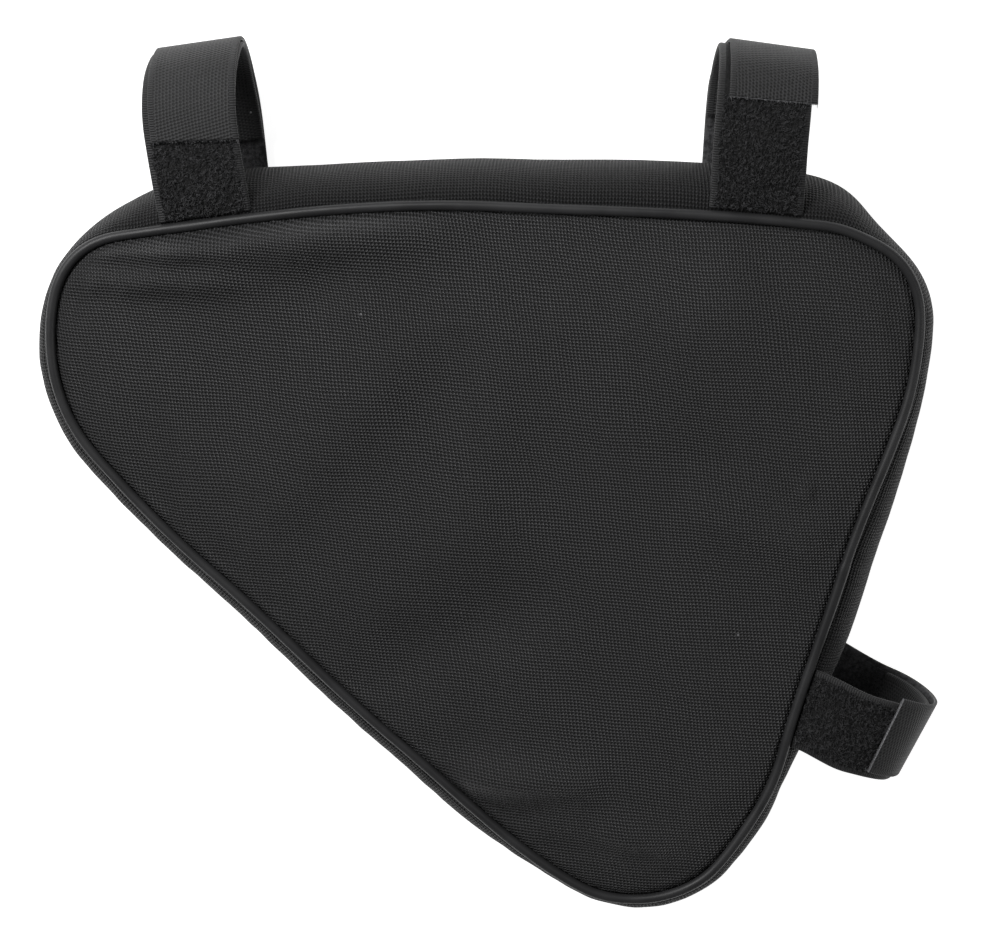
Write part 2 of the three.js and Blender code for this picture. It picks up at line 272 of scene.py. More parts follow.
def grey(value):
    """A nearly neutral dark grey, a touch cool, as the bag's cloth is."""
    return (value, value, value * COOLNESS, 1)


print("helpers for groups and materials ready")

# %% [markdown]
# ## Weave
#
# The cloth is a plain weave of thick yarn, so coarse that every crossing shows. Modelling a hundred
# thousand crossings would be wasteful, and a picture of cloth would not follow the folds. A formula gives
# both detail and fit. Each piece carries an attribute named threads that counts yarns across and along
# it. Inside one crossing the height is a rounded bump, the yarn on top changes from crossing to crossing
# like the squares of a chessboard, and the small holes at the corners are dark: the materials paint them
# nearly black, as painted shade in the gaps between the yarns.

# %% The weave group
# How the yarns stray: scale of the noise per yarn, and how many yarns far
THREAD_WOBBLE = [(0.21, 0.35), (0.028, 3.2)]
# How round a yarn is, how low it dives at a crossing, and how high the cloth is between its bumps
YARN_ROUND, YARN_DIVE, CLOTH_GROUND = 0.6, 0.5, 0.55
# Where a hole is quite dark and where it ends, in shares of its size
HOLE_CORE, HOLE_END = 0.35, 1.75
NOISE_MIDDLE = (0.5, 0.5, 0.5)

weave, given, gives = new_group(
    "plain_weave",
    [("Threads", "Vector", None), ("Hole size", "Float", 0.6), ("Hole lean", "Float", 1.9)],
    [("Height", "Float"), ("Holes", "Float"), ("Yarn shade", "Float")],
)


def yarn_bump(over, along):
    """A yarn's height: round across the yarn, and lower where it dives under the next one."""
    dive = maths(weave, "MULTIPLY_ADD", along, 1 - YARN_DIVE, YARN_DIVE)
    return maths(weave, "MULTIPLY", maths(weave, "POWER", over, YARN_ROUND), dive)


def from_corner(yarns):
    """How many yarns away the nearest corner between crossings is, in one direction."""
    return maths(weave, "SUBTRACT", maths(weave, "FRACT", maths(weave, "ADD", yarns, 0.5)), 0.5)


moved = given["Threads"]
for noise_scale, stray in THREAD_WOBBLE:
    noise = add(weave, "TexNoise", {"Vector": given["Threads"], "Scale": noise_scale, "Detail": 1.0})
    sockets = {0: noise.outputs["Color"], 1: NOISE_MIDDLE}
    away = add(weave, "VectorMath", sockets, operation="SUBTRACT").outputs[0]
    away = add(weave, "VectorMath", {0: away, "Scale": stray}, operation="SCALE").outputs[0]
    moved = add(weave, "VectorMath", {0: moved, 1: away}, operation="ADD").outputs[0]
yarns = add(weave, "SeparateXYZ", {"Vector": moved}).outputs
across_yarn, along_yarn = half_sine(weave, yarns["X"]), half_sine(weave, yarns["Y"])
column, row = maths(weave, "FLOOR", yarns["X"]), maths(weave, "FLOOR", yarns["Y"])
on_top = maths(weave, "FLOORED_MODULO", maths(weave, "ADD", column, row), 2.0)
bump = mix_values(weave, on_top, yarn_bump(across_yarn, along_yarn), yarn_bump(along_yarn, across_yarn))
# A hole lies at each corner, as an oval that leans along one diagonal.
corner_x, corner_y = from_corner(yarns["X"]), from_corner(yarns["Y"])
down = maths(weave, "MULTIPLY", maths(weave, "SUBTRACT", corner_x, corner_y), given["Hole lean"])
up = maths(weave, "ADD", corner_x, corner_y)
squares = maths(weave, "ADD", maths(weave, "MULTIPLY", down, down), maths(weave, "MULTIPLY", up, up))
hole_share = maths(weave, "DIVIDE", maths(weave, "SQRT", squares), given["Hole size"])
holes = between(weave, hole_share, HOLE_CORE, HOLE_END, 1.0, 0.0)
solid = maths(weave, "MULTIPLY_ADD", bump, 1 - CLOTH_GROUND, CLOTH_GROUND)
height = maths(weave, "MULTIPLY", solid, maths(weave, "SUBTRACT", 1.0, holes))
top_yarn = mix_values(weave, on_top, column, maths(weave, "ADD", row, 0.5))
shade = add(weave, "TexWhiteNoise", {"W": top_yarn}, noise_dimensions="1D").outputs["Value"]
for socket, value in (("Height", height), ("Holes", holes), ("Yarn shade", shade)):
    weave.links.new(value, gives[socket])
print("plain_weave:", [socket.name for socket in weave.interface.items_tree])

# %% [markdown]
# ## Lint and clouding
#
# Nothing made of cloth is one even colour. Two more effects are used by several materials. Clouding is a
# soft large noise that makes some places a little lighter, as rubbed cloth is. Lint is a scatter of tiny
# pale specks: a Voronoi texture splits space into cells, and only a few random cells keep their speck.

# %% The clouding and lint group
CLEAR_BELOW, CLOUDED_ABOVE = 0.3, 0.7

dusty, given, gives = new_group(
    "clouding_and_lint",
    [("Place", "Vector", None), ("Cloud scale", "Float", 14.0), ("Speck scale", "Float", 260.0),
     ("Speck size", "Float", 0.13), ("Specks kept", "Float", 0.0012)],
    [("Clouds", "Float"), ("Specks", "Float")],
)
sockets = {"Vector": given["Place"], "Scale": given["Cloud scale"], "Detail": 4.0, "Roughness": 0.55}
clouds = add(dusty, "TexNoise", sockets).outputs["Fac"]
dusty.links.new(between(dusty, clouds, CLEAR_BELOW, CLOUDED_ABOVE), gives["Clouds"])
cells = add(dusty, "TexVoronoi", {"Vector": given["Place"], "Scale": given["Speck scale"]}).outputs
chosen = add(dusty, "TexWhiteNoise", {"Vector": cells["Position"]}, noise_dimensions="3D").outputs["Value"]
is_speck = maths(dusty, "LESS_THAN", cells["Distance"], given["Speck size"])
dusty.links.new(maths(dusty, "MULTIPLY", is_speck, maths(dusty, "LESS_THAN", chosen, given["Specks kept"])),
                gives["Specks"])
print("clouding_and_lint:", [socket.name for socket in dusty.interface.items_tree])

# %% [markdown]
# ## The cloth
#
# One recipe serves the panels and the side wall. The holes are painted nearly black, as painted shade
# between the yarns, the yarns catch the light, and each yarn is a little lighter or darker than its
# neighbour. The bump follows the weave. The gloss is broad and weak, as coated polyester has it. The side
# wall is the same cloth, painted half as light as painted shade on the wall, and it is also duller.

# %% Bag cloth
# The dark value is also the colour of the holes: painted shade between the yarns.
CLOTH_LIGHT, CLOTH_DARK, CLOTH_LINT = 0.055, 0.001, 0.13
CLOTH_HOLES = {"Hole size": 0.72, "Hole lean": 1.9}
CLOTH_RELIEF = 0.9 * MM
# How much the yarns and the clouding change the shade, and the shade that they start from
CLOTH_SHADES = (0.12, 0.12, 0.74)
YARN_ROUGHNESS, HOLE_ROUGHNESS = 0.5, 0.8
PANEL_GLOSS, WALL_GLOSS = 0.45, 0.22


def woven_color(tree, cloth, dust, shades, light, dark):
    """Yarns that differ a little in shade, with the holes between them painted nearly black as painted shade.
    """
    by_yarn, by_cloud, start = shades
    shade = maths(tree, "MULTIPLY_ADD", cloth["Yarn shade"], by_yarn, start)
    shade = maths(tree, "MULTIPLY_ADD", dust["Clouds"], by_cloud, shade)
    yarn = mix_colors(tree, shade, grey(dark), grey(light))
    # The holes get the dark colour: painted shade in the gaps between the yarns.
    return mix_colors(tree, cloth["Holes"], yarn, grey(dark))


def cloth_material(name, light, specular):
    """Coarse woven cloth that reads its yarns from the attribute threads."""
    material, tree, shader = new_material(name, roughness=YARN_ROUGHNESS, specular=specular)
    threads = add(tree, "Attribute", attribute_name="threads").outputs["Vector"]
    cloth = use_group(tree, weave, {"Threads": threads, **CLOTH_HOLES})
    dust = use_group(tree, dusty, {"Place": own_place(tree)})
    yarns_with_shaded_holes = woven_color(tree, cloth, dust, CLOTH_SHADES, light, CLOTH_DARK)
    linted = mix_colors(tree, dust["Specks"], yarns_with_shaded_holes, grey(CLOTH_LINT))
    rougher = HOLE_ROUGHNESS - YARN_ROUGHNESS
    rough = maths(tree, "MULTIPLY_ADD", cloth["Holes"], rougher, YARN_ROUGHNESS)
    tree.links.new(rough, shader.inputs["Roughness"])
    surface(tree, shader, linted, cloth["Height"], CLOTH_RELIEF, 1.0)
    return material


bag_cloth = cloth_material("bag_cloth", CLOTH_LIGHT, PANEL_GLOSS)
# The side wall's copy of the cloth is painted half as light: painted shade over the whole wall.
wall_cloth_shaded = cloth_material("wall_cloth_shaded", CLOTH_LIGHT / 2, WALL_GLOSS)
print("materials", bag_cloth.name, wall_cloth_shaded.name)

# %% [markdown]
# ## Vinyl piping
#
# Piping is a cord wrapped in a strip of soft vinyl. It is smooth with a soft shine, but handling leaves
# it slightly uneven, so the roughness varies and a faint fine bump breaks the highlight.

# %% Piping vinyl
VINYL_DARK, VINYL_RUBBED = 0.017, 0.025
VINYL_ROUGHNESS, RUBBED_ROUGHNESS, VINYL_GLOSS = 0.40, 0.52, 0.28
SKIN_RELIEF = 0.03 * MM

piping_vinyl, tree, shader = new_material("piping_vinyl", VINYL_ROUGHNESS, VINYL_GLOSS)
place = own_place(tree)
clouds = use_group(tree, dusty, {"Place": place, "Cloud scale": 45.0})["Clouds"]
skin = add(tree, "TexNoise", {"Vector": place, "Scale": 900.0, "Detail": 3.0}).outputs["Fac"]
rougher = RUBBED_ROUGHNESS - VINYL_ROUGHNESS
uneven = maths(tree, "MULTIPLY_ADD", clouds, rougher, VINYL_ROUGHNESS)
tree.links.new(uneven, shader.inputs["Roughness"])
rubbed = mix_colors(tree, clouds, grey(VINYL_DARK), grey(VINYL_RUBBED))
surface(tree, shader, rubbed, skin, SKIN_RELIEF, 0.6)
print("material", piping_vinyl.name)

# %% [markdown]
# ## Tape finishes
#
# Hook-and-loop tape has two faces. The back is a close weave that reads as rows of small dots, which are
# holes painted dark as painted shade, with ribbed selvedges at both edges, whose grooves are painted dark
# as painted shade. The working face has either a fuzzy pile of loops, on a ground painted darker as painted
# shade under the loops, or rows of hooks. The backs share one recipe with different values, and use the
# weave group at a finer scale.

# %% Tape backs, selvedges, pile and hooks
TAPE_HOLES = {"Hole size": 0.56, "Hole lean": 1.7}
TAPE_SHADES = (0.2, 0.15, 0.6)
TAPE_LINT = 0.2
TAPE_RELIEF, FIBRE_RELIEF = 0.22 * MM, 0.3 * MM


def tape_material(name, light, dark, rib_light):
    """A close-woven tape: threads X counts yarns across, Y along, Z is 1 at the selvedges."""
    material, tree, shader = new_material(name, roughness=0.6, specular=0.3, sheen=0.05)
    threads = add(tree, "Attribute", attribute_name="threads").outputs["Vector"]
    cloth = use_group(tree, weave, {"Threads": threads, **TAPE_HOLES})
    dust = use_group(tree, dusty, {"Place": own_place(tree), "Cloud scale": 30.0, "Specks kept": 0.0015})
    parts = add(tree, "SeparateXYZ", {"Vector": threads}).outputs
    ribs = half_sine(tree, parts["Y"])
    yarns_with_shaded_holes = woven_color(tree, cloth, dust, TAPE_SHADES, light, dark)
    # The ribs are painted light along their middles and dark in the grooves between them: painted shade.
    ribs_with_painted_shade = mix_colors(tree, ribs, grey(dark), grey(rib_light))
    edged = mix_colors(tree, parts["Z"], yarns_with_shaded_holes, ribs_with_painted_shade)
    linted = mix_colors(tree, dust["Specks"], edged, grey(TAPE_LINT))
    height = mix_values(tree, parts["Z"], cloth["Height"], ribs)
    surface(tree, shader, linted, height, TAPE_RELIEF, 0.9)
    return material


def fibre_material(name, light, dark, scale, roughness=0.7):
    """Fine fibres: a random mottle of light and dark at a given scale."""
    material, tree, shader = new_material(name, roughness=roughness, specular=0.25)
    sockets = {"Vector": own_place(tree), "Scale": scale, "Detail": 3.0, "Roughness": 0.6}
    mottle = add(tree, "TexNoise", sockets).outputs["Fac"]
    color = mix_colors(tree, between(tree, mottle, 0.35, 0.65), grey(dark), grey(light))
    surface(tree, shader, color, mottle, FIBRE_RELIEF, 0.8)
    return material


# Tapes: name, light, dark, light of the ribs. Fibres: name, light, dark, scale of the mottle.
hook_back = tape_material("hook_tape_back", 0.028, 0.001, 0.026)
pile_back = tape_material("pile_tape_back", 0.020, 0.004, 0.021)
# The ground under the loops is painted darker than the tape's back: painted shade under the loops.
pile_ground_shaded = fibre_material("pile_ground_shaded", 0.008, 0.002, 1400.0)
pile_loops = fibre_material("pile_loops", 0.055, 0.012, 700.0)
hook_nylon = fibre_material("hook_nylon", 0.060, 0.022, 700.0, roughness=0.35)
cut_end = fibre_material("cut_end", 0.26, 0.06, 2500.0)
sewing_thread = fibre_material("sewing_thread", 0.03, 0.012, 2500.0, roughness=0.5)
zip_cloth = tape_material("zip_cloth", 0.022, 0.005, 0.022)
zip_metal, tree, shader = new_material("zip_metal", roughness=0.4, specular=0.5)
shader.inputs["Metallic"].default_value = 1.0
scuffs = add(tree, "TexNoise", {"Vector": own_place(tree), "Scale": 600.0}).outputs["Fac"]
tree.links.new(mix_colors(tree, scuffs, grey(0.03), grey(0.07)), shader.inputs["Base Color"])
tape_finishes = [hook_back, pile_back, pile_ground_shaded, pile_loops, hook_nylon, cut_end, sewing_thread, zip_cloth]
print("tape and zip materials", [material.name for material in tape_finishes + [zip_metal]])

# %% [markdown]
# ## Reading the outline
#
# The construction model's pieces are flat-faced, so its outlines are chains of straight steps. A smooth
# curve through the corners gives back the line that the cloth follows. A cubic spline is the natural
# choice: it passes through every corner, and both its direction and its bend change without a jump, so
# highlights glide along it.

# %% Splines through the model's corners
STEPS_A_KNOT = 40
TINY = 1e-9


def corners_of(name):
    """A CAD node's corners, each once, and the pairs of corners that an edge joins."""
    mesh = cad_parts[name].data
    places = np.array([vertex.co for vertex in mesh.vertices])
    points, which = np.unique(places.round(6), axis=0, return_inverse=True)
    edges = which.ravel()[np.array([edge.vertices[:] for edge in mesh.edges])]
    return points, edges


def spline(points, closed):
    """The smooth curve through points, as a function of knot numbers 0, 1, 2 and so on."""
    count = len(points)
    system = 4 * np.eye(count) + np.eye(count, k=1) + np.eye(count, k=-1)
    change = np.roll(points, -1, 0) - 2 * points + np.roll(points, 1, 0)
    if closed:
        system[0, -1] = system[-1, 0] = 1
    else:
        system[[0, -1]] = np.eye(count)[[0, -1]]
        change[[0, -1]] = 0
    bend = np.linalg.solve(system, 6 * change)

    def at(knots):
        first = np.minimum(np.floor(knots).astype(int), count - (1 if closed else 2))
        second = (first + 1) % count
        late = (knots - first)[:, None]
        early = 1 - late
        curve = early * points[first] + late * points[second]
        return curve + ((early ** 3 - early) * bend[first] + (late ** 3 - late) * bend[second]) / 6

    return at


def evenly(points, count, closed):
    """The spline through points (x, y, z first), the knots of count even steps along it, its length."""
    at = spline(points, closed)
    knots = np.linspace(0, len(points) - (0 if closed else 1), STEPS_A_KNOT * len(points) + 1)
    last = knots[-1] - TINY
    dense = at(np.minimum(knots, last))
    length = np.concatenate([[0], np.cumsum(np.linalg.norm(np.diff(dense[:, :3], axis=0), axis=1))])
    wanted = np.linspace(0, length[-1], count, endpoint=not closed)
    return at, np.minimum(np.interp(wanted, length, knots), last), length[-1]


def unit(vectors):
    """The same directions, one long."""
    return vectors / np.linalg.norm(vectors, axis=-1, keepdims=True)


print("spline helpers ready")

# %% The seam line
SEAM_STEPS = 480
SAME_HEIGHT = 0.01 * MM

piping_corners, _ = corners_of("front_piping")
crest = piping_corners[abs(piping_corners[:, 2] - front_high.z) < SAME_HEIGHT][:, :2]
crest = crest[np.argsort(np.arctan2(crest[:, 1], crest[:, 0]))]
seam_curve, seam_knots, SEAM_LENGTH = evenly(crest, SEAM_STEPS, closed=True)
seam = seam_curve(seam_knots)
seam_way = unit(np.roll(seam, -1, 0) - np.roll(seam, 1, 0))
seam_out = np.column_stack([seam_way[:, 1], -seam_way[:, 0]])
print(f"{len(crest)} corners, seam length {SEAM_LENGTH / MM:.0f} mm")

# %% [markdown]
# The side wall bulges by a different amount at each place. Each section of its solid stands square to the
# seam, so the corner that reaches furthest out in the seam's normal direction tells how far.

# %% How far the side wall bulges
SECTION_REACH, KNOT_STEP = 1.5 * MM, 0.01
BLUR_STEPS = 12
# Averaging leaves some stretches wider than in the photograph, most of all the corners, where the seam
# pulls the cloth in. Each stretch: its middle on the photograph, its reach in mm, the change in mm.
WALL_STRETCHES = [
    ((897, 245), 18, -3.6), ((75, 245), 19, -2.9), ((310, 165), 30, -1.7), ((420, 160), 22, -1.9),
    ((560, 880), 26, -2.3), ((866, 580), 24, -1.6), ((776, 790), 12, -2.4), ((190, 566), 30, -0.9),
    ((310, 680), 30, -0.7), ((924, 385), 16, -0.9), ((39, 355), 14, 1.0),
    ((848, 196), 13, 1.4), ((603, 899), 13, -1.0),
]

gusset_corners, _ = corners_of("gusset")
gusset_low, gusset_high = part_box("gusset")
GUSSET_HALF = (gusset_high.z - gusset_low.z) / 2
crest_knots = np.arange(len(crest)) * 1.0
crest_way = unit(seam_curve(crest_knots + KNOT_STEP) - seam_curve(crest_knots))
crest_out = np.column_stack([crest_way[:, 1], -crest_way[:, 0]])
offsets = gusset_corners[None, :, :2] - crest[:, None]
in_section = abs((offsets * crest_way[:, None]).sum(2)) < SECTION_REACH
reach = np.where(in_section, (offsets * crest_out[:, None]).sum(2), -1)
furthest = reach.argmax(1)
lean = (gusset_corners[furthest, 2] - MIDDLE_HEIGHT) / GUSSET_HALF
corner_bulge = reach.max(1) / np.sqrt(1 - lean ** 2)
bulge = spline(corner_bulge[:, None], closed=True)(seam_knots)[:, 0]
# Cloth can't change its bulge within a few millimetres, so neighbours are averaged, round the corners too.
steps_away = np.arange(-2 * BLUR_STEPS, 2 * BLUR_STEPS + 1)
weights = np.exp(-(steps_away / BLUR_STEPS) ** 2)
weights /= weights.sum()
bulge = sum(weight * np.roll(bulge, away) for weight, away in zip(weights, steps_away))
for middle, reach_mm, change_mm in WALL_STRETCHES:
    nearest = np.linalg.norm(seam - panel_place(middle), axis=1).argmin()
    steps_off = (np.arange(SEAM_STEPS) - nearest + SEAM_STEPS / 2) % SEAM_STEPS - SEAM_STEPS / 2
    mm_off = steps_off * SEAM_LENGTH / SEAM_STEPS / MM
    bulge += change_mm * MM * np.exp(-(mm_off / reach_mm) ** 2)
print(f"bulge from {bulge.min() / MM:.1f} to {bulge.max() / MM:.1f} mm")

# %% [markdown]
# ## Meshes from arrays
#
# Every surface here is computed as an array of points. This cell turns arrays into Blender objects. The
# attribute threads is stored on face corners, so that a strip that closes on itself can start and end its
# yarn count at the same place without a smear.

# %% Making and finishing objects


def make_piece(name, points, faces, materials, threads=None, kinds=None):
    """A mesh object from points and faces, with one material for each number in kinds."""
    mesh = bpy.data.meshes.new(name)
    mesh.from_pydata(points.tolist(), [], [list(face) for face in faces])
    for material in materials:
        mesh.materials.append(material)
    if kinds is not None:
        mesh.polygons.foreach_set("material_index", np.asarray(kinds, dtype=np.int32))
    if threads is not None:
        held = mesh.attributes.new("threads", "FLOAT_VECTOR", "CORNER")
        held.data.foreach_set("vector", np.asarray(threads, dtype=np.float32).ravel())
    mesh.polygons.foreach_set("use_smooth", np.ones(len(mesh.polygons), dtype=bool))
    mesh.update()
    made = bpy.data.objects.new(name, mesh)
    scene.collection.objects.link(made)
    return made


def strip_faces(rows, columns, rows_join, columns_join):
    """Quads between rows x columns points, and for each face corner its unwrapped row and column."""
    row, column = np.meshgrid(np.arange(rows if rows_join else rows - 1),
                              np.arange(columns if columns_join else columns - 1), indexing="ij")
    row, column = row.ravel(), column.ravel()
    corner_row = np.column_stack([row, row, row + 1, row + 1])
    corner_column = np.column_stack([column, column + 1, column + 1, column])
    faces = (corner_row % rows) * columns + corner_column % columns
    return faces, corner_row, corner_column


def settle(piece, node):
    """Rides the finished piece on the bag, and lets it stand for its CAD node."""
    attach(piece, "root")
    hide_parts(node)
    faces = sum(len(polygon.vertices) - 2 for polygon in piece.data.polygons)
    print(f"{piece.name}: {faces} triangles before modifiers")
    return piece


def thicken(piece, thickness):
    """Gives a sheet of cloth its thickness, on its inner side."""
    cloth = piece.modifiers.new("cloth_thickness", "SOLIDIFY")
    cloth.thickness, cloth.offset = thickness, -1


def apply_modifiers(piece):
    """Bakes the modifiers into the mesh."""
    evaluated = piece.evaluated_get(bpy.context.evaluated_depsgraph_get())
    mesh = bpy.data.meshes.new_from_object(evaluated)
    piece.modifiers.clear()
    piece.data = mesh


print("object helpers ready")

# %% [markdown]
# ## Piping
#
# Each piping is a circle swept along its seam. The cord inside isn't perfectly round or straight, so its
# radius and height wander by less than a tenth of a millimetre. Sums of a few sines make that wander: they
# close on themselves, and they come out the same each run. Where the ends of the vinyl strip overlap, the
# cord is a little thicker, and the upper end's edge shows as a faint ridge.

# %% The two pipings
CORD_SIDES = 24
# The cord is this much thinner than its solid, because its radius and its height wander
CORD_PLAY = 0.04 * MM
# Waves round the seam: how many, how far in mm, where they start
CORD_WANDER = [(7, 0.05, 0.4), (19, 0.04, 1.9), (43, 0.025, 4.1), (71, 0.018, 2.2)]
# Each cord's waves start where its height, in metres, says: for its height and for its radius
RISE_START, RADIUS_START = 90, 50
# The vinyl strip's ends overlap here: pixel, how far in steps of the seam, how much thicker
VINYL_JOINT, JOINT_STEPS, JOINT_RISE = (848, 566), 18, 0.18 * MM
# The share of that rise at the overlap's thin end
JOINT_THIN = 0.1
# The upper end's edge shows as a ridge on the inner side: how high, at which angle, how wide
RIDGE_HIGH, RIDGE_ANGLE, RIDGE_WIDE = 0.12 * MM, math.radians(140), math.radians(16)


def wander(waves, steps, shift=0.0):
    """A closed line of small ups and downs, in metres."""
    turn = np.linspace(0, 2 * math.pi, steps, endpoint=False)
    return sum(size * MM * np.sin(count * turn + start + shift) for count, size, start in waves)


def piping(side, height):
    """Sweeps a cord along the front or the back seam."""
    rise = wander(CORD_WANDER, SEAM_STEPS, height * RISE_START) / 2
    thinner = wander(CORD_WANDER, SEAM_STEPS, 2 + height * RADIUS_START) / 2
    radius = CORD_RADIUS - CORD_PLAY + thinner
    joint = np.linalg.norm(seam - panel_place(VINYL_JOINT), axis=1).argmin()
    overlap = np.zeros(SEAM_STEPS)
    overlap[joint - JOINT_STEPS:joint] = np.linspace(JOINT_THIN, 1, JOINT_STEPS)
    angle = np.linspace(0, 2 * math.pi, CORD_SIDES, endpoint=False)
    ridge = RIDGE_HIGH * np.exp(-((angle - RIDGE_ANGLE) / RIDGE_WIDE) ** 2)
    radius = radius[:, None] + overlap[:, None] * (JOINT_RISE + ridge)
    out = radius * np.cos(angle)
    flat = seam[:, None] + seam_out[:, None] * out[..., None]
    high = np.maximum(height + rise[:, None] + radius * np.sin(angle), 0)
    points = np.concatenate([flat, high[..., None]], axis=2).reshape(-1, 3)
    faces, _, _ = strip_faces(SEAM_STEPS, CORD_SIDES, True, True)
    settle(make_piece(f"{side}_piping_vinyl", points, faces, [piping_vinyl]), f"{side}_piping")


piping("front", FRONT_SEAM)
piping("back", BACK_SEAM)

# %% [markdown]
# ## The side wall
#
# The wall is one long strip, sewn edge to edge round the bag. Its section is half an ellipse that starts
# under the front cord and ends over the back one. Where cloth is gathered into a curved seam it puckers:
# small waves that are strongest at the seam and fade within a centimetre. We add them by formula, since
# they are far smaller than what a simulation with affordable cells would show.

# %% The side wall's strip
WALL_STEPS = 30
WALL_CLOTH = 1.2 * MM
WALL_CLEAR = 0.08 * MM
THREAD_PITCH = 1.17 * MM
# Waves round the seam, as for the cord. The back seam's puckers start elsewhere.
WALL_PUCKERS = [(61, 0.16, 0.3), (83, 0.13, 2.0), (37, 0.16, 1.1), (113, 0.07, 0.6)]
WALL_SAG = [(5, 0.35, 0.8), (9, 0.3, 2.6), (14, 0.22, 4.4)]
PUCKER_FADE, BACK_PUCKER_START = 7 * MM, 1.7

angle = np.linspace(math.pi / 2, -math.pi / 2, WALL_STEPS + 1)
half_depth = (FRONT_SEAM - BACK_SEAM) / 2 - CORD_RADIUS - WALL_CLEAR
wall_out = bulge[:, None] * np.cos(angle)
wall_high = MIDDLE_HEIGHT + half_depth * np.sin(angle)[None] + 0 * wall_out
slack = np.sin(np.linspace(0, math.pi, WALL_STEPS + 1))
for side, first_wave in ((1, 0.0), (-1, BACK_PUCKER_START)):
    from_seam = half_depth * (1 - side * np.sin(angle))
    fade = slack ** 0.5 * np.exp(-from_seam / PUCKER_FADE)
    wall_out += wander(WALL_PUCKERS, SEAM_STEPS, first_wave)[:, None] * fade
wall_out += wander(WALL_SAG, SEAM_STEPS)[:, None] * slack ** 2
flat = seam[:, None] + seam_out[:, None] * wall_out[..., None]
points = np.concatenate([flat, wall_high[..., None]], axis=2)
steps_across = np.linalg.norm(np.diff(points, axis=1), axis=2)
across = np.concatenate([np.zeros((SEAM_STEPS, 1)), np.cumsum(steps_across, axis=1)], axis=1)
faces, corner_row, corner_column = strip_faces(SEAM_STEPS, WALL_STEPS + 1, True, False)
# An even number of yarns closes the chessboard of crossings.
yarns_round = round(SEAM_LENGTH / THREAD_PITCH / 2) * 2
threads = np.stack([
    corner_row * yarns_round / SEAM_STEPS,
    across[corner_row % SEAM_STEPS, corner_column] / THREAD_PITCH,
    0 * corner_row,
], axis=2)
side_wall = make_piece("side_wall_cloth", points.reshape(-1, 3), faces[:, ::-1], [wall_cloth_shaded],
                       threads[:, ::-1])
thicken(side_wall, WALL_CLOTH)
settle(side_wall, "gusset")

# %% [markdown]
# ## A grid that fills the outline
#
# A cloth simulation wants cells of about the same size and shape, and a fan of triangles from the middle
# has neither. We press a square grid into a disc with a well-known formula, then stretch the disc to the
# bag's outline. The rows are set closer together near the edge, where the cloth dives beside the cord.

# %% The panel grid
# How far the warp and the weft lean from the photograph's horizontal
YARN_LEANS = (math.radians(9.1), math.radians(84.8))


def disc_grid(cells, crowding):
    """Places of a square grid pressed into the unit disc: x, y of each of (cells + 1) squared points."""
    side = np.linspace(-1, 1, cells + 1)
    side = side * (1 + crowding * (1 - side ** 2))
    across, up = np.meshgrid(side, side)
    return across * np.sqrt(1 - up ** 2 / 2), up * np.sqrt(1 - across ** 2 / 2)


def fill_outline(outline, middle, cells, crowding):
    """The grid stretched to an outline that starts at the left and runs anticlockwise."""
    x, y = disc_grid(cells, crowding)
    share = (np.arctan2(y, x) / (2 * math.pi) + 0.5) % 1 * len(outline)
    first = np.floor(share).astype(int) % len(outline)
    late = (share - np.floor(share))[..., None]
    edge = outline[first] * (1 - late) + outline[(first + 1) % len(outline)] * late
    return middle + np.minimum(np.hypot(x, y), 1)[..., None] * (edge - middle)


def edge_distance(places, outline):
    """How far each place lies from the outline."""
    nearest = [np.linalg.norm(outline - place, axis=1).min() for place in places.reshape(-1, 2)]
    return np.array(nearest).reshape(places.shape[:-1])


def panel_yarns(places):
    """Counts yarns across and along a panel. The cloth is cut a few degrees off the thread."""
    warp, weft = (np.array([math.cos(lean), math.sin(lean)]) / THREAD_PITCH for lean in YARN_LEANS)
    return np.stack([places @ warp, places @ weft, 0 * places[..., 0]], axis=-1)


print("grid helpers ready")

# %% [markdown]
# ## The front panel's folds
#
# The folds are what makes the panel look like this bag and no other. Each is read from the photograph as a
# line between two pixels, with a width and a height in millimetres: below zero is a valley. A fold fades
# out at both ends and to both sides.

# %% Folds read from the photograph
# A fold runs on past both its pixels by this share of its length, fading out.
FOLD_TAIL = 0.15
# From pixel, to pixel, width on the right and on the left of that way in mm, lift in mm
FOLDS = [
    ((64, 250), (226, 249), 4.0, 6.0, 4.9),
    ((124, 246), (438, 216), 12.5, 6.0, 12.5),
    ((72, 281), (250, 285), 4.8, 5.0, 3.9),
    ((258, 528), (432, 312), 13.0, 26.0, 3.8),
    ((462, 560), (512, 330), 13.0, 14.0, 2.4),
    ((360, 690), (552, 588), 15.0, 18.0, -4.4),
    ((446, 784), (590, 784), 8.0, 9.0, 7.0),
    ((690, 510), (818, 548), 9.5, 18.0, 3.4),
    ((796, 493), (814, 495), 3.6, 5.0, 1.8),
    ((596, 834), (668, 852), 4.6, 9.0, 2.8),
    ((694, 430), (702, 236), 16.0, 22.0, 3.6),
]


def fold_lift(places):
    """How far all the folds together lift each place, in metres."""
    lift = np.zeros(places.shape[:-1])
    for start_pixel, end_pixel, right_width, left_width, height in FOLDS:
        start, end = panel_place(start_pixel), panel_place(end_pixel)
        length = np.linalg.norm(end - start)
        way = (end - start) / length
        along = np.clip(((places - start) @ way) / length, -FOLD_TAIL, 1 + FOLD_TAIL)
        aside = (places - start) @ np.array([-way[1], way[0]])
        width = np.where(aside < 0, right_width, left_width) * MM
        fade = np.clip(np.sin(math.pi * (along + FOLD_TAIL) / (1 + 2 * FOLD_TAIL)), 0, 1)
        lift += height * MM * fade * np.exp(-(aside / width) ** 2)
    return lift


print(len(FOLDS), "folds")

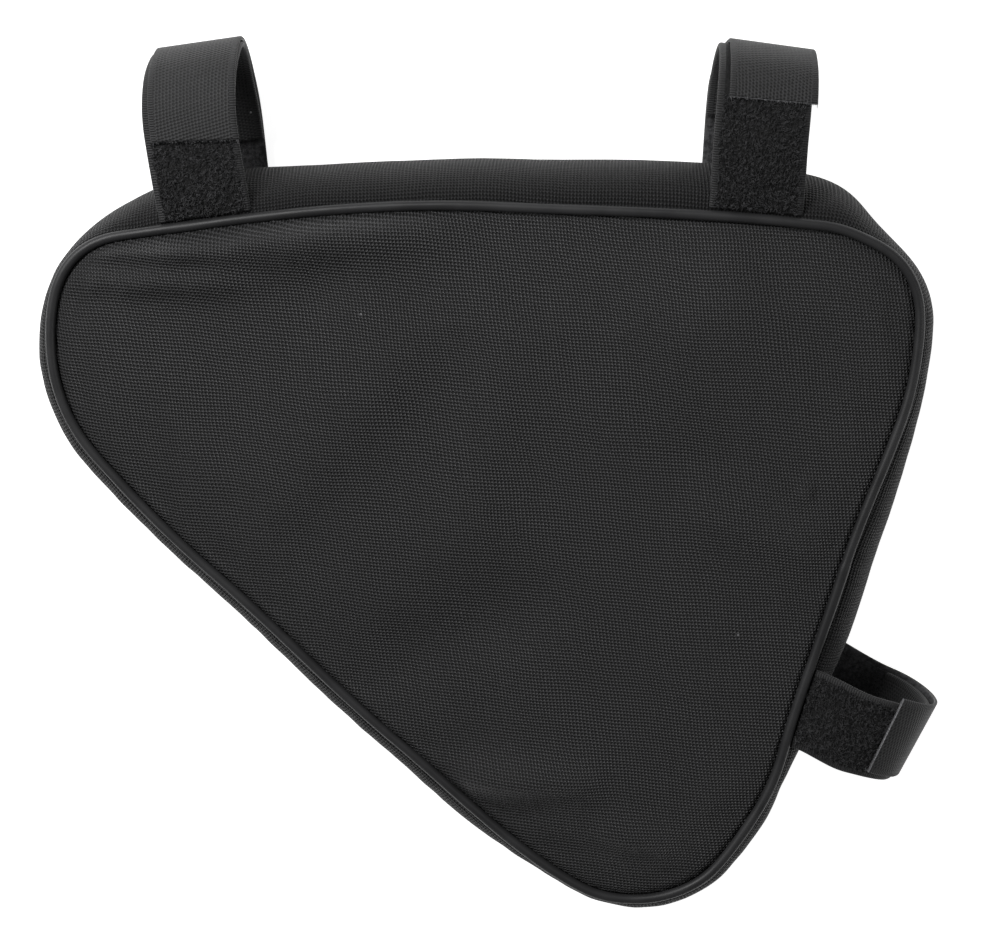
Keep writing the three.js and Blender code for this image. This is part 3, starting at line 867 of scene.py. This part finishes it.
# %% [markdown]
# ## The front panel
#
# The panel starts beside the cord, a little below the top of the seam, climbs steeply and then rounds off:
# the foam behind it pushes it out. An exponential gives that profile. This is the shape before simulation,
# already close to the photograph.

# %% The front panel before simulation
PANEL_CELLS, EDGE_CROWDING = 108, 0.35
PANEL_INSET = 1.5 * MM
PANEL_MIDDLE = np.array([6 * MM, -5 * MM])
# How high the crown is, and how far from the seam it and the folds take to rise
CROWN = PANEL_TOP - FRONT_SEAM + 0.5 * MM
CROWN_RISE, FOLD_RISE = 13 * MM, 3.5 * MM
# How far the edge is tucked in below the seam, how much of that it regains at once, and over how far
TUCK_DEPTH, TUCK_STEP, TUCK_REACH = 1.6 * MM, 1.1 * MM, 1.25 * MM

panel_outline = seam - seam_out * PANEL_INSET
front_grid = fill_outline(panel_outline, PANEL_MIDDLE, PANEL_CELLS, EDGE_CROWDING)
front_edge = edge_distance(front_grid, panel_outline)
rounding = 1 - np.exp(-front_edge / CROWN_RISE)
front_height = FRONT_SEAM - TUCK_DEPTH + TUCK_STEP * (1 - np.exp(-(front_edge / TUCK_REACH) ** 2))
front_height += rounding * CROWN
front_points = np.concatenate([front_grid, front_height[..., None]], axis=2).reshape(-1, 3)
side = PANEL_CELLS + 1
faces, corner_row, corner_column = strip_faces(side, side, False, False)
front_panel = make_piece("front_panel_cloth", front_points, faces, [bag_cloth],
                         panel_yarns(front_grid)[corner_row, corner_column])
print(f"grid of {side} x {side}, highest {front_height.max() / MM:.1f} mm")

# %% [markdown]
# ## Simulating the front panel
#
# The formula gives the round crown, but real cloth also settles: it shares out its slack and pulls small
# tension lines from the seam. Blender's cloth does that. We pin the edge, which is sewn, give the cloth a
# touch of extra length and a light pressure from behind, and let it run for a few frames. How far a point
# may move is capped, so that the panel keeps the bag's shape.
#
# The folds come after that, on a finer mesh. They are creases that storage has set into the cloth, and a
# simulation with affordable cells would iron them out.

# %% Running the cloth
SIM_FRAMES = 20
SIM_PRESSURE = 2.0
SIM_SLACK = -0.002
SEWN_BAND = 2.2 * MM
MOST_MOVE = 0.7 * MM


def simulate_panel(piece, edge_distances):
    """Lets the panel settle as cloth, then keeps the settled points, moved by no more than the cap."""
    start = np.array([vertex.co for vertex in piece.data.vertices])
    sewn = piece.vertex_groups.new(name="sewn")
    sewn.add([int(i) for i in np.flatnonzero(edge_distances.ravel() < SEWN_BAND)], 1.0, "REPLACE")
    cloth = piece.modifiers.new("settling", "CLOTH")
    settings = cloth.settings
    settings.quality = 6
    settings.mass = 0.25
    settings.tension_stiffness = settings.compression_stiffness = 25
    settings.shear_stiffness = 12
    settings.bending_stiffness = 6
    settings.vertex_group_mass = "sewn"
    settings.shrink_min = SIM_SLACK
    settings.use_pressure = True
    settings.uniform_pressure_force = SIM_PRESSURE
    settings.effector_weights.gravity = 0
    cloth.collision_settings.use_collision = False
    cloth.collision_settings.use_self_collision = False
    cloth.point_cache.frame_start, cloth.point_cache.frame_end = 1, SIM_FRAMES
    for frame_number in range(1, SIM_FRAMES + 1):
        scene.frame_set(frame_number)
    evaluated = piece.evaluated_get(bpy.context.evaluated_depsgraph_get())
    settled = np.array([vertex.co for vertex in evaluated.data.vertices])
    piece.modifiers.clear()
    scene.frame_set(1)
    move = settled - start
    size = np.linalg.norm(move, axis=1, keepdims=True)
    move *= np.minimum(1, MOST_MOVE / np.maximum(size, TINY))
    piece.data.vertices.foreach_set("co", (start + move).astype(np.float32).ravel())
    piece.data.update()
    print(f"{piece.name} settled by up to {size.max() / MM:.2f} mm, {size.mean() / MM:.2f} mm on average,",
          f"and up to {MOST_MOVE / MM:.1f} mm of each move is kept")


simulate_panel(front_panel, front_edge)

# %% Finishing the front panel
PANEL_CLOTH = 1.3 * MM

smoother = front_panel.modifiers.new("finer_cells", "SUBSURF")
smoother.levels = smoother.render_levels = 1
apply_modifiers(front_panel)
fine = np.array([vertex.co for vertex in front_panel.data.vertices])
fine_edge = edge_distance(fine[:, :2], panel_outline)
fine[:, 2] += (1 - np.exp(-fine_edge / FOLD_RISE)) * fold_lift(fine[:, :2])
front_panel.data.vertices.foreach_set("co", fine.astype(np.float32).ravel())
front_panel.data.update()
thicken(front_panel, PANEL_CLOTH)
apply_modifiers(front_panel)
settle(front_panel, "front_panel")

# %% [markdown]
# ## The back panel and its slot
#
# The bag lies on its back panel, so it is flat apart from long shallow waves that only rise from the
# ground. The zip's slot has straight sides and round ends, like a running track. Cells whose middle lies in
# the slot are left out, and the points round the gap move to the slot's edge.

# %% The back panel
SLOT_GAP = 0.3 * MM
BACK_CLOTH = 1.2 * MM
BACK_LIFT, BACK_WAVE = 0.22 * MM, 0.25 * MM
# How far the waves take to rise from the seam and from the slot
SEAM_CALM, SLOT_CALM = 8 * MM, 6 * MM

zip_low, zip_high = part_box("zip")
SLOT_RADIUS = (zip_high.y - zip_low.y) / 2 + SLOT_GAP
ZIP_UP = (zip_high.y + zip_low.y) / 2
SLOT_LEFT, SLOT_RIGHT = zip_low.x - SLOT_GAP + SLOT_RADIUS, zip_high.x + SLOT_GAP - SLOT_RADIUS


def from_slot(places):
    """The nearest place on the slot's middle line, and the way from there."""
    middle = np.stack([np.clip(places[..., 0], SLOT_LEFT, SLOT_RIGHT), ZIP_UP + 0 * places[..., 1]], axis=-1)
    return middle, places - middle


back_grid = fill_outline(panel_outline, PANEL_MIDDLE, PANEL_CELLS, EDGE_CROWDING)
flat_grid = back_grid.reshape(-1, 2)
back_faces = faces
centres = flat_grid[back_faces].mean(axis=1)
in_slot = np.linalg.norm(from_slot(centres)[1], axis=-1) < SLOT_RADIUS
rim = np.intersect1d(back_faces[in_slot], back_faces[~in_slot])
rim_middle, rim_way = from_slot(flat_grid[rim])
flat_grid[rim] = rim_middle + unit(rim_way) * SLOT_RADIUS
x, y = flat_grid.T
waves = BACK_WAVE * (1 + np.sin(x * 38 + 2 * np.sin(y * 21)) * np.cos(y * 33 + 1))
from_seam = front_edge.ravel()
slot_clear = np.maximum(np.linalg.norm(from_slot(flat_grid)[1], axis=1) - SLOT_RADIUS, 0)
back_height = BACK_LIFT + waves * (1 - np.exp(-from_seam / SEAM_CALM) - np.exp(-slot_clear / SLOT_CALM))
back_height = np.maximum(back_height, BACK_LIFT) + TUCK_DEPTH * np.exp(-(from_seam / TUCK_REACH) ** 2)
back_points = np.column_stack([flat_grid, back_height])
back_threads = panel_yarns(flat_grid)[back_faces[~in_slot]]
back_panel = make_piece("back_panel_cloth", back_points, back_faces[~in_slot][:, ::-1], [bag_cloth],
                        back_threads[:, ::-1])
thicken(back_panel, BACK_CLOTH)
settle(back_panel, "back_panel")
print(f"slot {(SLOT_RIGHT - SLOT_LEFT + 2 * SLOT_RADIUS) / MM:.0f} mm long")

# %% [markdown]
# ## Small curved things
#
# Pile loops, hooks, stitches, the zip's coil and frayed ends are all short pieces of thread. One function
# makes them, thousands at a time: each follows the same small curve, drawn with two numbers per point
# (forward and up), but has its own place, heading, length, height and lean.

# %% Threads from arrays


def threads_along(places, ups, headings, lengths, heights, leans, curve, radius, sides=3):
    """Points and faces of many thin tubes. curve holds (forward, up, thickness share) for each point."""
    forward, up, thick = np.array(curve).T
    sideways = unit(np.cross(headings, ups))
    tilted = ups * np.cos(leans)[:, None] + sideways * np.sin(leans)[:, None]
    flank = unit(np.cross(headings, tilted))
    path = places[:, None] + headings[:, None] * (lengths[:, None] * forward)[..., None]
    path = path + tilted[:, None] * (heights[:, None] * up)[..., None]
    way = unit(np.gradient(path, axis=1))
    over = np.cross(flank[:, None], way)
    angle = np.linspace(0, 2 * math.pi, sides, endpoint=False)
    around = flank[:, None, None] * np.cos(angle)[:, None] + over[:, :, None] * np.sin(angle)[:, None]
    points = path[:, :, None] + around * (radius * thick)[None, :, None, None]
    ring, _, _ = strip_faces(len(curve), sides, False, True)
    faces = ring[None] + (np.arange(len(places)) * len(curve) * sides)[:, None, None]
    return points.reshape(-1, 3), faces.reshape(-1, 4)


def joined(parts):
    """Joins (points, faces, kind) parts to one set of points, faces and kinds."""
    starts = np.cumsum([0] + [len(points) for points, _, _ in parts[:-1]])
    faces = [[int(corner) + int(start) for corner in row] for (_, rows, _), start in zip(parts, starts)
             for row in rows]
    kinds = [kind for _, rows, kind in parts for _ in range(len(rows))]
    return np.concatenate([points for points, _, _ in parts]), faces, kinds


LOOP_CURVE = [(-0.3, -0.12, 1), (-0.5, 0.55, 1), (0, 1, 1), (0.5, 0.55, 1), (0.3, -0.12, 1)]
HOOK_CURVE = [(0, -0.1, 1.2), (0, 0.6, 1.1), (0.3, 1, 1), (0.85, 0.85, 0.9), (0.95, 0.4, 0.5)]
STITCH_CURVE = [(-0.5, -1, 0.8), (-0.42, 0.1, 1), (0, 0.5, 1), (0.42, 0.1, 1), (0.5, -1, 0.8)]
FRAY_CURVE = [(-0.3, 0, 1), (0.2, 0.1, 1), (0.6, 0.5, 0.8), (1, 0.6, 0.3)]
print("curves for loops, hooks, stitches and fray")

# %% [markdown]
# ## The straps
#
# Each strap is two tapes: the pile tape is sewn into the front seam, the hook tape into the back seam, and
# they are pressed together round a loop. The solids hold each tape as a row of four-cornered sections.
# Starting from the point at the foot we walk along the edges, section by section, and so recover the
# tape's middle line, width and thickness. Splines through these give smooth tape.

# %% Reading the tapes
TAPE_STATIONS = 130
# Near its foot a tape is flat, and its width and thickness are measured at this station.
FLAT_STATION = 9


def tape_line(name, foot_height):
    """Even stations along a tape from its foot: middles, half widths, half thicknesses, and its length."""
    points, edges = corners_of(name)
    linked = [set() for _ in points]
    for first, second in edges:
        linked[first].add(int(second))
        linked[second].add(int(first))
    tips = [i for i, others in enumerate(linked) if len(others) == 4]
    foot = min(tips, key=lambda i: abs(points[i][2] - foot_height))
    seen, layer, sections = {foot}, linked[foot], []
    while len(layer) == 4:
        seen |= layer
        sections.append(points[sorted(layer)])
        layer = {other for one in layer for other in linked[one]} - seen
    rows = []
    for corners in sections:
        near = np.linalg.norm(corners - corners[0], axis=1).argsort()
        first, across_thin, across_wide, diagonal = corners[near]
        if (diagonal - across_wide) @ (across_thin - first) < 0:
            across_wide, diagonal = diagonal, across_wide
        middle = corners.mean(axis=0)
        wide = (across_wide + diagonal - first - across_thin) / 4
        thin = (across_thin + diagonal - first - across_wide) / 4
        if rows and wide @ rows[-1][3:6] < 0:
            wide = -wide
        if rows and thin @ rows[-1][6:9] < 0:
            thin = -thin
        rows.append(np.concatenate([middle, wide, thin]))
    rows = np.array(rows)
    outward = ((rows[:, :3] - rows[:, :3].mean(0)) * rows[:, 6:9]).sum()
    if outward < 0:
        rows[:, 6:9] *= -1
    half_way = len(rows) // 2
    way = rows[half_way + 1, :3] - rows[half_way, :3]
    if np.cross(rows[half_way, 3:6], rows[half_way, 6:9]) @ way < 0:
        rows[:, 3:6] *= -1
    at, knots, length = evenly(rows, TAPE_STATIONS, closed=False)
    fine = at(knots)
    return fine[:, :3], fine[:, 3:6], fine[:, 6:9], length


def half_sizes(tape):
    """Half the width and half the thickness of a tape, near its foot."""
    return [np.linalg.norm(side[FLAT_STATION]) for side in tape[1:3]]


STRAPS = ["left", "right", "lower"]
tapes = {}
for strap in STRAPS:
    for kind, height in (("pile", FRONT_SEAM), ("hook", BACK_SEAM)):
        tape = tape_line(f"{strap}_strap_{kind}_tape", height)
        tapes[strap, kind] = tape
        width, thickness = (2 * half / MM for half in half_sizes(tape))
        print(f"{strap} {kind}: {tape[3] / MM:.0f} mm long, {width:.1f} wide, {thickness:.2f} thick")

# %% [markdown]
# A tape's surface is its section swept along the stations. The section has rounded edges. The faces carry
# numbers that choose the material: the outer face, the inner face, and the two cut ends. The cut ends show
# pale, because the yarn's broken fibres scatter light.

# %% Tape surfaces
TAPE_COLUMNS = 24
SELVEDGE = 2.4 * MM
RIB_PITCH, DOT_PITCH = 0.84 * MM, 1.2 * MM
# How far the rows of dots climb for each step across the tape
DOT_SHIFT = 0.25


def tape_section(half_wide, half_thin):
    """One section of a tape: places across and through, each from -1 to 1, anticlockwise."""
    edge = half_thin / half_wide
    flat = np.linspace(-1 + edge, 1 - edge, TAPE_COLUMNS + 1)
    turn = np.radians([60, 30, 0, -30, -60])
    rounded = 1 - edge + edge * np.cos(turn)
    across = np.concatenate([flat, rounded, flat[::-1], -rounded])
    through = np.concatenate([0 * flat + 1, np.sin(turn), 0 * flat - 1, -np.sin(turn)])
    return across, through


def make_tape(strap, kind, materials):
    """Sweeps a tape's section, with materials for its outer face, inner face and cut ends."""
    name = f"{strap}_strap_{kind}_tape"
    middles, wide, thin, length = tapes[strap, kind]
    across, through = tape_section(*half_sizes(tapes[strap, kind]))
    count = len(across)
    points = middles[:, None] + wide[:, None] * across[:, None] + thin[:, None] * through[:, None]
    quads, corner_row, corner_column = strip_faces(TAPE_STATIONS, count, False, True)
    half_wide = np.linalg.norm(wide, axis=1).mean()
    mm_across = across[corner_column % count] * half_wide
    along = corner_row * length / (TAPE_STATIONS - 1)
    from_middle = abs(mm_across.mean(axis=1, keepdims=True))
    selvedge = np.broadcast_to(from_middle > half_wide - SELVEDGE, mm_across.shape)
    rows_up = np.where(selvedge, along / RIB_PITCH, (along + DOT_SHIFT * mm_across) / DOT_PITCH)
    marks = np.stack([mm_across / DOT_PITCH, rows_up, selvedge * 1.0], axis=2)
    cap_threads = np.zeros((2 * count, 3))
    last = count * TAPE_STATIONS - 1
    faces = quads[:, ::-1].tolist() + [list(range(count)), list(range(last, last - count, -1))]
    inner = through[corner_column % count].mean(axis=1) < -0.5
    woven = inner | (selvedge.all(axis=1) & (kind == "pile"))
    kinds = np.where(woven, 1, 0).tolist() + [2, 2]
    threads = np.concatenate([marks[:, ::-1].reshape(-1, 3), cap_threads])
    tape = make_piece(name + "_cloth", points.reshape(-1, 3), faces, materials, threads, kinds)
    return settle(tape, name)


for strap in STRAPS:
    make_tape(strap, "pile", [pile_ground_shaded, pile_back, pile_back])
    make_tape(strap, "hook", [hook_back, hook_nylon, cut_end])

# %% [markdown]
# ## Pile, hooks and fray
#
# The pile shows from the seam up to the place where the hook tape covers it, and the hooks show inside the
# loop where no pile covers them. Both places follow from the tapes' end points. Loops stand at random and
# lean every way, which is what makes pile look soft. Hooks stand in rows. At the hook tape's cut end a few
# broken fibres stick out.

# %% Places on a tape's faces
# Pile and hooks end this share of the tape's length past the place where the other tape ends.
OVERLAP = 0.01
PILE_MARGIN = 1.9 * MM
chance = np.random.default_rng(12)


def on_tape(tape, share, across, face):
    """Places on a tape's outer (1) or inner (-1) face, with the directions out, along and across."""
    middles, wide, thin, _ = tape
    stations = np.arange(TAPE_STATIONS)
    known = np.hstack([middles, wide, thin, np.gradient(middles, axis=0)])
    wanted = np.column_stack([np.interp(share * (TAPE_STATIONS - 1), stations, values) for values in known.T])
    middle, half_wide, half_thin, way = np.split(wanted, 4, axis=1)
    place = middle + half_wide * across[:, None] + half_thin * face
    return place, unit(half_thin) * face, unit(way), unit(half_wide)


def share_nearest(tape, other):
    """How far along a tape, from 0 to 1, it comes nearest to the other tape's end."""
    return np.linalg.norm(tape[0] - other[0][-1], axis=1).argmin() / (TAPE_STATIONS - 1)


for strap in STRAPS:
    print(f"{strap}: pile is bare up to {share_nearest(tapes[strap, 'pile'], tapes[strap, 'hook']):.2f}")

# %% Pile
LOOPS_PER_MM2 = 2.6
LOOP_RADIUS = 0.1 * MM
# From least to most, in mm, and how far a loop leans to either side
LOOP_LENGTHS, LOOP_HEIGHTS, LOOP_LEAN = (0.7, 1.8), (0.3, 1.2), 1.1
PILE_START = 0.004


def grow_pile(strap):
    """Loops at random places and headings, from the seam to where the hook tape begins."""
    tape = tapes[strap, "pile"]
    covered = share_nearest(tape, tapes[strap, "hook"]) + OVERLAP
    half_wide = half_sizes(tape)[0]
    reach = 1 - PILE_MARGIN / half_wide
    count = int(LOOPS_PER_MM2 * covered * tape[3] * 2 * half_wide * reach / MM ** 2)
    share, across = chance.uniform(PILE_START, covered, count), chance.uniform(-reach, reach, count)
    place, up, way, aside = on_tape(tape, share, across, 1)
    turn = chance.uniform(0, 2 * math.pi, count)[:, None]
    heading = way * np.cos(turn) + aside * np.sin(turn)
    lengths = chance.uniform(*LOOP_LENGTHS, count) * MM
    heights = chance.uniform(*LOOP_HEIGHTS, count) * MM
    leans = chance.uniform(-LOOP_LEAN, LOOP_LEAN, count)
    points, faces = threads_along(place, up, heading, lengths, heights, leans, LOOP_CURVE, LOOP_RADIUS)
    return make_piece(f"{strap}_strap_pile_loops", points, faces, [pile_loops])


print(LOOPS_PER_MM2, "loops to a square millimetre")

# %% Hooks
HOOK_ROW, HOOK_STEP = 1.5 * MM, 1.3 * MM
HOOK_LENGTH, HOOK_HEIGHT, HOOK_RADIUS = 0.7 * MM, 1.2 * MM, 0.11 * MM
HOOK_TURN, HOOK_LEAN = 0.3, 0.15
HOOKS_START = 0.05


def grow_hooks(strap):
    """Rows of hooks inside the loop, up to where the pile tape begins."""
    tape = tapes[strap, "hook"]
    bare = share_nearest(tape, tapes[strap, "pile"]) - OVERLAP
    half_wide = half_sizes(tape)[0]
    rows = np.arange(HOOKS_START * tape[3], bare * tape[3], HOOK_ROW) / tape[3]
    columns = np.arange(-half_wide + PILE_MARGIN, half_wide - PILE_MARGIN, HOOK_STEP) / half_wide
    share, across = (side.ravel() for side in np.meshgrid(rows, columns))
    place, up, way, aside = on_tape(tape, share, across, -1)
    count = len(place)
    back_or_on = chance.choice([-1, 1], count)[:, None]
    heading = unit(way * back_or_on + aside * chance.uniform(-HOOK_TURN, HOOK_TURN, count)[:, None])
    lengths, heights = np.full(count, HOOK_LENGTH), np.full(count, HOOK_HEIGHT)
    leans = chance.uniform(-HOOK_LEAN, HOOK_LEAN, count)
    points, faces = threads_along(place, up, heading, lengths, heights, leans, HOOK_CURVE, HOOK_RADIUS,
                                  sides=4)
    return make_piece(f"{strap}_strap_hooks", points, faces, [hook_nylon])


print(f"a hook every {HOOK_STEP / MM} mm in rows {HOOK_ROW / MM} mm apart")

# %% Frayed ends
FRAYED_FIBRES = 110
FIBRE_RADIUS, FIBRE_LENGTHS = 0.09 * MM, (0.15, 0.7)
FIBRE_SPAN, FIBRE_TURN, FIBRE_RISE = 0.99, 0.5, 0.2 * MM
# Corner fibres come loose over a longer way: from which share of the half width, and how much longer
CORNER_SHARE, CORNER_EXTRA = 0.96, 1.1


def grow_fray(strap):
    """Broken fibres that stick out of the hook tape's cut end, longest at its corners."""
    tape = tapes[strap, "hook"]
    share, across = np.ones(FRAYED_FIBRES), chance.uniform(-FIBRE_SPAN, FIBRE_SPAN, FRAYED_FIBRES)
    place, up, way, aside = on_tape(tape, share, across, 0)
    up, half_thin = unit(tape[2][-1]), np.linalg.norm(tape[2][-1])
    place = place + up * chance.uniform(-1, 1, FRAYED_FIBRES)[:, None] * half_thin
    heading = unit(way + aside * chance.uniform(-FIBRE_TURN, FIBRE_TURN, FRAYED_FIBRES)[:, None])
    ups = np.repeat(up[None], FRAYED_FIBRES, axis=0)
    lengths = chance.uniform(*FIBRE_LENGTHS, FRAYED_FIBRES) + CORNER_EXTRA * (abs(across) > CORNER_SHARE)
    heights = chance.uniform(-FIBRE_RISE, FIBRE_RISE, FRAYED_FIBRES)
    points, faces = threads_along(place, ups, heading, lengths * MM, heights, 0 * lengths, FRAY_CURVE,
                                  FIBRE_RADIUS)
    return make_piece(f"{strap}_strap_fray", points, faces, [cut_end])


print(FRAYED_FIBRES, "fibres to a cut end")

# %% Dressing the three straps
for strap in STRAPS:
    pile, hooks, fray = grow_pile(strap), grow_hooks(strap), grow_fray(strap)
    for piece, kind in ((pile, "pile"), (hooks, "hook"), (fray, "hook")):
        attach(piece, "root")
    print(f"{strap}: {len(pile.data.polygons) // 12} loops, {len(hooks.data.polygons) // 16} hooks")

# %% [markdown]
# ## The zip
#
# The zip closes the slot in the back. A coil zip is two woven tapes with a nylon coil along the inner edge
# of each, and a slider. It is sewn behind the slot with a row of stitches. Nobody sees it in the
# photograph, so it stays plain, and all of it lies inside the slot so that the bag can rest on its back.

# %% Shapes for the zip
TRACK_STEPS = 200


def block(low, high, pinch):
    """A box from low to high, drawn in by pinch at the bottom, which faces out of the bag."""
    corners = []
    for z, draw in ((low[2], pinch), (high[2], 0)):
        left, near, right, far = low[0] + draw, low[1] + draw, high[0] - draw, high[1] - draw
        corners += [(left, near, z), (right, near, z), (right, far, z), (left, far, z)]
    sides = [(3, 2, 1, 0), (4, 5, 6, 7)] + [(i, (i + 1) % 4, (i + 1) % 4 + 4, i + 4) for i in range(4)]
    return np.array(corners), sides


def track(radius, count):
    """Even places round the slot's shape at a radius, and the direction there."""
    turn = np.linspace(-math.pi / 2, 1.5 * math.pi, TRACK_STEPS + 1)
    middle = np.where(np.arange(TRACK_STEPS + 1) <= TRACK_STEPS / 2, SLOT_RIGHT, SLOT_LEFT)
    ring = np.column_stack([middle + radius * np.cos(turn), ZIP_UP + radius * np.sin(turn)])
    ring[-1] = ring[0]
    run = np.concatenate([[0], np.cumsum(np.linalg.norm(np.diff(ring, axis=0), axis=1))])
    wanted = np.linspace(0, run[-1], count, endpoint=False)
    places = np.column_stack([np.interp(wanted, run, axis) for axis in ring.T])
    return places, unit(np.roll(places, -1, 0) - np.roll(places, 1, 0))


print("shapes for the zip ready")

# %% The zip
ZIP_CLEAR, ZIP_EDGE_STEPS = 0.1 * MM, 160
ZIP_TAPE_HIGH, ZIP_TAPE_THICK, ZIP_YARN = 1.15 * MM, 0.45 * MM, 0.7 * MM
COIL_PITCH, COIL_ASIDE = 1.3 * MM, 1.3 * MM
COIL_LENGTH, COIL_HEIGHT, COIL_RADIUS = 2.2 * MM, 0.5 * MM, 0.26 * MM
SLIDER_FROM_END = 3 * MM
# The slider's body and pull in mm from its middle on the ground: from, to, how far the bottom is drawn in
SLIDER_PARTS = [
    ((-4, -3.2, 0.42), (4, 3.2, ZIP_TAPE_HIGH / MM), 0.5),
    ((-22, -1.7, 0.12), (0, 1.7, 0.6), 0.15),
]
CLOTH_KIND, COIL_KIND, METAL_KIND = 0, 1, 2

edge_places, _ = track((zip_high.y - zip_low.y) / 2 - ZIP_CLEAR, ZIP_EDGE_STEPS)
rims = [np.column_stack([edge_places, np.full(ZIP_EDGE_STEPS, high)])
        for high in (ZIP_TAPE_HIGH, ZIP_TAPE_HIGH + ZIP_TAPE_THICK)]
rim_faces = strip_faces(2, ZIP_EDGE_STEPS, False, True)[0].tolist()
rim_faces += [list(range(ZIP_EDGE_STEPS))[::-1], list(range(ZIP_EDGE_STEPS, 2 * ZIP_EDGE_STEPS))]
zip_parts = [(np.concatenate(rims), rim_faces, CLOTH_KIND)]
turns = np.arange(SLOT_LEFT, SLOT_RIGHT, COIL_PITCH)
ones = np.ones(len(turns))
for side, shift in ((-1, 0), (1, COIL_PITCH / 2)):
    place = np.column_stack([turns + shift, ZIP_UP + side * COIL_ASIDE * ones, ZIP_TAPE_HIGH * ones])
    heading, down = ones[:, None] * [0.0, -side, 0.0], ones[:, None] * [0.0, 0.0, -1.0]
    points, coil_faces = threads_along(place, down, heading, ones * COIL_LENGTH, ones * COIL_HEIGHT,
                                       0 * ones, LOOP_CURVE, COIL_RADIUS, sides=6)
    zip_parts.append((points, coil_faces, COIL_KIND))
slider_place = np.array([SLOT_RIGHT - SLIDER_FROM_END, ZIP_UP, 0])
for low_mm, high_mm, pinch_mm in SLIDER_PARTS:
    low, high = slider_place + np.array(low_mm) * MM, slider_place + np.array(high_mm) * MM
    zip_parts.append((*block(low, high, pinch_mm * MM), METAL_KIND))
points, zip_faces, kinds = joined(zip_parts)
yarn_places = np.concatenate([points[face] for face in zip_faces]) * (1, 1, 0) / ZIP_YARN
zip_piece = make_piece("zip_strip", points, zip_faces, [zip_cloth, hook_nylon, zip_metal], yarn_places, kinds)
settle(zip_piece, "zip")

# %% The stitches round the slot
STITCH_PITCH, STITCH_AWAY = 3.0 * MM, 2.4 * MM
STITCH_LENGTH, STITCH_HEIGHT, STITCH_RADIUS = 2.4 * MM, 0.12 * MM, 0.13 * MM

stitch_count = 2 * round((SLOT_RIGHT - SLOT_LEFT + math.pi * SLOT_RADIUS) / STITCH_PITCH)
spots, ways = track(SLOT_RADIUS + STITCH_AWAY, stitch_count)
ones = np.ones(stitch_count)
place = np.column_stack([spots, BACK_LIFT * ones])
heading, down = np.column_stack([ways, 0 * ones]), ones[:, None] * [0.0, 0.0, -1.0]
points, stitch_faces = threads_along(place, down, heading, ones * STITCH_LENGTH, ones * STITCH_HEIGHT,
                                     0 * ones, STITCH_CURVE, STITCH_RADIUS, sides=6)
stitches = make_piece("slot_stitches", points, stitch_faces, [sewing_thread])
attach(stitches, "root")
print(stitch_count, "stitches")
